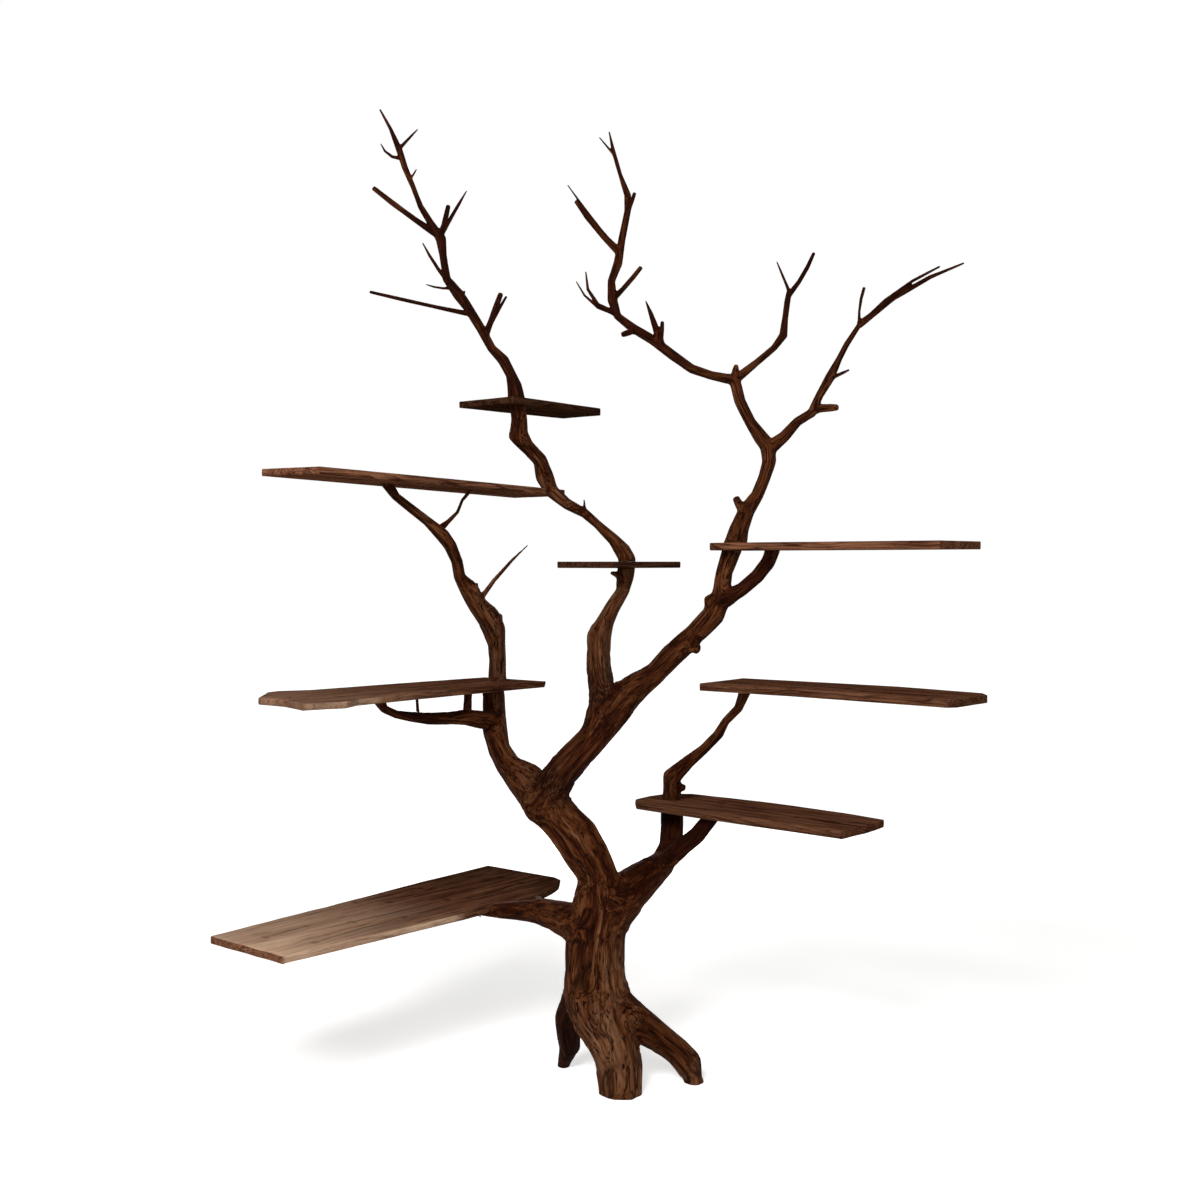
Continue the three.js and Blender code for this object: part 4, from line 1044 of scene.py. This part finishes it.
def branch_material(settings):
    """Branch wood, stripped of its bark, dried outdoors, stained dark walnut and waxed.

    Drying opens grooves along the fibres that gather stain and look almost black, handling wears
    the ridges to a warmer brown, and the wax has dried to all but matt. Some limbs are also made
    paler or darker as painted light and shade.
    """
    material, add = new_material("branch_wood_walnut_stained")
    side = add("Attribute", attribute_name="grain_side", out="Vector")
    run = add("Attribute", attribute_name="grain_run", out="Fac")
    groove, crotch, relief, worn = (
        add("Attribute", attribute_name=name, out="Fac")
        for name in ("groove", "crotch", "relief", "worn")
    )

    # Each noise has its width round the limb, its run along it and its detail
    noises = []
    for width, reach, detail in (
        (settings.fibre_width, settings.fibre_run, 3.0),
        (settings.streak_width, settings.streak_run, 3.0),
        (40 * MM, 220 * MM, 2.0), (15 * MM, 280 * MM, 2.0), (24 * MM, 160 * MM, 1.0),
        (4 * MM, 60 * MM, 1.0),
    ):
        place = add("VectorMath", {0: side, 1: (1 / width,) * 3}, operation="MULTIPLY")
        far = add("Math", {0: run, 1: reach}, operation="DIVIDE")
        noises.append(add("TexNoise", {
            "Vector": place, "W": far, "Scale": 1.0, "Detail": detail, "Roughness": 0.6,
        }, noise_dimensions="4D"))
    fibre, streak, cloud, bend, patch, fleck = noises

    # How much stain the wood holds: little on ridges, much in hollows and in streaks, shifted by
    # each limb's tone, which also carries painted light and shade
    tone = add("Math", {0: relief, 1: 0.14, 2: 0.55}, operation="MULTIPLY_ADD")
    tone = add("Math", {0: tone, 1: worn}, operation="ADD")
    for noise, weight in ((fibre, 0.75), (streak, 0.65), (cloud, 0.9)):
        off = add("Math", {0: noise, 1: 0.5}, operation="SUBTRACT")
        tone = add("Math", {0: off, 1: weight, 2: tone}, operation="MULTIPLY_ADD")
    base = add("ValToRGB", {"Fac": tone}, stops=(
        (0.12, tuple(settings.hollow)), (0.98, tuple(settings.worn)), (0.39, tuple(settings.dark)),
        (0.58, tuple(settings.middle)),
    ))

    # Long cracks follow the lines where one noise passes its middle, and short ones its peaks
    off = add("Math", {0: bend, 1: 0.5}, operation="SUBTRACT")
    line = add("Math", {0: off}, operation="ABSOLUTE")
    thin = add("MapRange", {
        "Value": line, "From Max": 0.03, "To Min": 1.0, "To Max": 0.0,
    }, interpolation_type="SMOOTHSTEP")
    there = add("MapRange", {"Value": patch, "From Min": 0.41, "From Max": 0.5})
    long_crack = add("Math", {0: thin, 1: there}, operation="MULTIPLY")
    short_crack = add("MapRange", {"Value": fleck, "From Min": 0.6, "From Max": 0.67})
    crack = add("Math", {0: long_crack, 1: short_crack}, operation="MAXIMUM")
    gather = add("MapRange", {
        "Value": fibre, "From Min": 0.42, "From Max": 0.6, "To Min": 1.0, "To Max": 0.45,
    })
    bark = add("Math", {0: crotch, 1: gather}, operation="MULTIPLY")
    stained = add("Math", {0: groove, 1: 0.85}, operation="MULTIPLY")
    stained = add("Math", {0: stained, 1: crack}, operation="MAXIMUM")
    stained = add("Math", {0: stained, 1: bark}, operation="MAXIMUM")
    wood = add("Mix", {0: stained, 6: base, 7: tuple(settings.hollow)}, data_type="RGBA", out=2)

    height = add("Math", {0: fibre, 1: 0.5}, operation="MULTIPLY")
    height = add("Math", {0: streak, 1: 1.2, 2: height}, operation="MULTIPLY_ADD")
    height = add("Math", {0: height, 1: crack}, operation="SUBTRACT")
    bump = add("Bump", {"Height": height, "Distance": 2.0 * MM, "Strength": 1.0})
    rough = add("MapRange", {
        "Value": fibre, "From Min": 0.3, "From Max": 0.7, "To Min": 0.6, "To Max": 0.8,
    })
    shader = add("BsdfPrincipled", {
        "Base Color": wood, "Roughness": rough, "Normal": bump, "IOR": 1.45, "Specular IOR Level": 0.03,
    })
    add("OutputMaterial", {"Surface": shader})
    return material


# Fasteners


def beech_material():
    """Beech dowel, turned and left bare: pale, close grained and matt.

    Its flecks are about 1.1 mm across and 17 mm long.
    """
    material, add = new_material("beech_dowel_turned")
    place = add("TexCoord", out="Object")
    long_grain = add("VectorMath", {0: place, 1: (900, 900, 60)}, operation="MULTIPLY")
    flecks = add("TexNoise", {"Vector": long_grain, "Scale": 1.0, "Detail": 3.0})
    base = add("ValToRGB", {"Fac": flecks}, stops=(
        (0.35, linear("#8a6443")), (0.7, linear("#b98f68")),
    ))
    bump = add("Bump", {"Height": flecks, "Distance": 0.1 * MM})
    shader = add("BsdfPrincipled", {"Base Color": base, "Roughness": 0.7, "Normal": bump, "IOR": 1.5})
    add("OutputMaterial", {"Surface": shader})
    return material


def steel_material():
    """Zinc plated steel screw, rolled: grey, with marks half a millimetre apart that break the shine."""
    material, add = new_material("steel_screw_plated")
    place = add("TexCoord", out="Object")
    marks = add("TexNoise", {"Vector": place, "Scale": 1800.0, "Detail": 2.0})
    base = add("ValToRGB", {"Fac": marks}, stops=(
        (0.3, linear("#8f8d86")), (0.75, linear("#c4c1b8")),
    ))
    rough = add("MapRange", {"Value": marks, "To Min": 0.3, "To Max": 0.45})
    shader = add("BsdfPrincipled", {"Base Color": base, "Roughness": rough, "Metallic": 1.0})
    add("OutputMaterial", {"Surface": shader})
    return material


# The photograph's viewpoint: its eye stands this far across, behind and above the front foot
VIEW_TURN = math.radians(40)
EYE_ACROSS, EYE_BACK, EYE_HEIGHT = -0.047, -3.346, 1.240
LENS, SENSOR = 42.9, 36.0
HORIZON_SHIFT = -38 / 1200

# Each lamp's place across, back and up, and its width, in metres
LAMPS = {
    "key": ((-1.1, -3.0, 3.0), 1.4), "fill": ((1.3, -3.2, 1.3), 1.8), "back": ((0.0, 3.4, 1.1), 1.8),
}
LAMP_TARGET = (0, 0.1, 1.1)

# The floor reaches this far each way and lies this far under the feet, in metres
FLOOR_REACH, FLOOR_DROP = 14, 0.5 * MM


def front_point(across, back, up):
    """A point from how far across, back and up it lies in the front view."""
    way_across = Vector((math.cos(VIEW_TURN), math.sin(VIEW_TURN), 0))
    way_back = Vector((-math.sin(VIEW_TURN), math.cos(VIEW_TURN), 0))
    return way_across * across + way_back * back + Vector((0, 0, up))


def add_camera():
    """The photograph's eye."""
    lens = bpy.data.cameras.new("eye")
    lens.lens, lens.sensor_width = LENS, SENSOR
    lens.shift_y = HORIZON_SHIFT
    camera = add_object("eye", lens)
    camera.location = front_point(EYE_ACROSS, EYE_BACK, EYE_HEIGHT)
    camera.rotation_euler = (math.pi / 2, 0, VIEW_TURN)
    bpy.context.scene.camera = camera


def add_lamp(name, place, target, size, power):
    """A square soft lamp that faces a target."""
    lamp = bpy.data.lights.new(name, "AREA")
    lamp.size, lamp.energy = size, power
    holder = add_object(name, lamp)
    holder.location = place
    holder.rotation_euler = (target - place).to_track_quat("-Z", "Y").to_euler()
    holder.visible_camera = False


def seen_directly(add):
    """1 for rays from the camera, in mirrors and through glass."""
    path = add("LightPath").node.outputs
    first = add("Math", {0: path["Is Camera Ray"], 1: path["Is Glossy Ray"]}, operation="MAXIMUM")
    return add("Math", {0: first, 1: path["Is Transmission Ray"]}, operation="MAXIMUM")


def floor_material(settings):
    """A painted floor, matt: it keeps the shadow and fades into the white room."""
    material, add = new_material("studio_floor_matt")
    place = add("TexCoord", out="Object")
    mottle = add("TexNoise", {"Vector": place, "Scale": 1 / (25 * MM)})
    rough = add("MapRange", {"Value": mottle, "To Min": 0.9, "To Max": 1.0})
    matt = add("BsdfPrincipled", {
        "Base Color": tuple(settings.floor), "Roughness": rough, "Specular IOR Level": 0.0,
    })
    away = add("VectorMath", {0: place}, operation="LENGTH", out="Value")
    fade = add("MapRange", {
        "Value": away, "From Min": 1.5, "From Max": 5.0, "To Min": settings.floor_lift,
    }, interpolation_type="SMOOTHSTEP")
    glow = add("Math", {0: seen_directly(add), 1: fade}, operation="MULTIPLY")
    lift = add("Emission", {"Strength": glow})
    both = add("AddShader", {0: matt, 1: lift})
    add("OutputMaterial", {"Surface": both})
    return material


def add_world(settings):
    """A white room that lights the object less than it shows."""
    world = bpy.data.worlds.new("white_room")
    world.use_nodes = True
    world.node_tree.nodes.clear()
    add = partial(add_node, world.node_tree)
    strength = add("MapRange", {"Value": seen_directly(add), "To Min": settings.sky, "To Max": 1.0})
    light = add("Background", {"Color": (1, 1, 1, 1), "Strength": strength})
    add("OutputWorld", {"Surface": light})
    bpy.context.scene.world = world


class BOOKSHELF_OT_stage(bpy.types.Operator):
    """Adds the floor, the white room, the lamps and the camera"""

    bl_idname = "bookshelf.stage"
    bl_label = "Stage"

    def execute(self, context):
        settings = context.scene.bookshelf_stage
        context.scene.view_settings.view_transform = "Standard"
        mesh = bpy.data.meshes.new("floor")
        corners = [(x * FLOOR_REACH, y * FLOOR_REACH, 0) for x, y in ((-1, -1), (1, -1), (1, 1), (-1, 1))]
        mesh.from_pydata(corners, [], [(0, 1, 2, 3)])
        mesh.materials.append(floor_material(settings))
        floor = add_object("floor", mesh)
        floor.location.z = -FLOOR_DROP
        add_world(settings)
        target = front_point(*LAMP_TARGET)
        for name, (place, size) in LAMPS.items():
            add_lamp(name, front_point(*place), target, size, getattr(settings, name + "_power"))
        add_camera()
        return {"FINISHED"}


class BOOKSHELF_OT_boards(bpy.types.Operator):
    """Builds the eight boards with their edges and drying cracks"""

    bl_idname = "bookshelf.boards"
    bl_label = "Boards"

    def execute(self, context):
        settings = context.scene.bookshelf_boards
        material = plank_material(settings)
        for seed, node in enumerate(BOARDS):
            board_piece(node, material, settings, seed)
        return {"FINISHED"}


def board_planes(boards):
    """The planes that limbs are cut on: the floor and both faces of each board."""
    planes = {"floor": (Vector((0, 0, 0)), Vector((0, 0, -1)))}
    for board in boards:
        half = board.up * (board.thickness / 2)
        planes[board.node + "_under"] = (board.centre - half, board.up)
        planes[board.node + "_over"] = (board.centre + half, -board.up)
    return planes


class BOOKSHELF_OT_limbs(bpy.types.Operator):
    """Grows the trunk, roots, limbs, arms, crowns and twigs"""

    bl_idname = "bookshelf.limbs"
    bl_label = "Limbs"

    def execute(self, context):
        settings = context.scene.bookshelf_limbs
        material = branch_material(settings)
        boards = [Board(node) for node in BOARDS]
        planes = board_planes(boards)
        limb_pieces(STOUT_LIMBS, boards, planes, settings, settings.stout_skin, material)
        limb_pieces(SLENDER_LIMBS, boards, planes, settings, settings.slender_skin, material)
        return {"FINISHED"}


class BOOKSHELF_OT_fasteners(bpy.types.Operator):
    """Gives the hidden dowels and screws their materials"""

    bl_idname = "bookshelf.fasteners"
    bl_label = "Fasteners"

    def execute(self, context):
        beech, steel = beech_material(), steel_material()
        for name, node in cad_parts.items():
            if name.startswith(("dowel", "screw")):
                wood = name.startswith("dowel")
                node.data.materials.clear()
                node.data.materials.append(beech if wood else steel)
        return {"FINISHED"}


class BOOKSHELF_PT_panel(bpy.types.Panel):
    """The bookshelf's pieces and sizes"""

    bl_idname = "BOOKSHELF_PT_panel"
    bl_label = "Tree Bookshelf"
    bl_space_type = "VIEW_3D"
    bl_region_type = "UI"
    bl_category = "Tree Bookshelf"

    def draw(self, context):
        for operator in OPERATORS:
            self.layout.operator(operator.bl_idname)
        for group in SETTINGS:
            settings = getattr(context.scene, group)
            for name in settings.bl_rna.properties.keys():
                if name not in {"rna_type", "name"}:
                    self.layout.prop(settings, name)


SETTINGS = {
    "bookshelf_limbs": LimbSettings,
    "bookshelf_boards": BoardSettings,
    "bookshelf_stage": StageSettings,
}
OPERATORS = (
    BOOKSHELF_OT_stage, BOOKSHELF_OT_boards, BOOKSHELF_OT_limbs, BOOKSHELF_OT_fasteners,
)


def register():
    for group in (*SETTINGS.values(), *OPERATORS, BOOKSHELF_PT_panel):
        bpy.utils.register_class(group)
    for name, group in SETTINGS.items():
        setattr(bpy.types.Scene, name, bpy.props.PointerProperty(type=group))


def unregister():
    for name in SETTINGS:
        delattr(bpy.types.Scene, name)
    for group in (BOOKSHELF_PT_panel, *OPERATORS, *SETTINGS.values()):
        bpy.utils.unregister_class(group)


def main():
    register()
    bpy.ops.bookshelf.stage()
    bpy.ops.bookshelf.boards()
    bpy.ops.bookshelf.limbs()
    bpy.ops.bookshelf.fasteners()


if __name__ == "__main__":
    main()
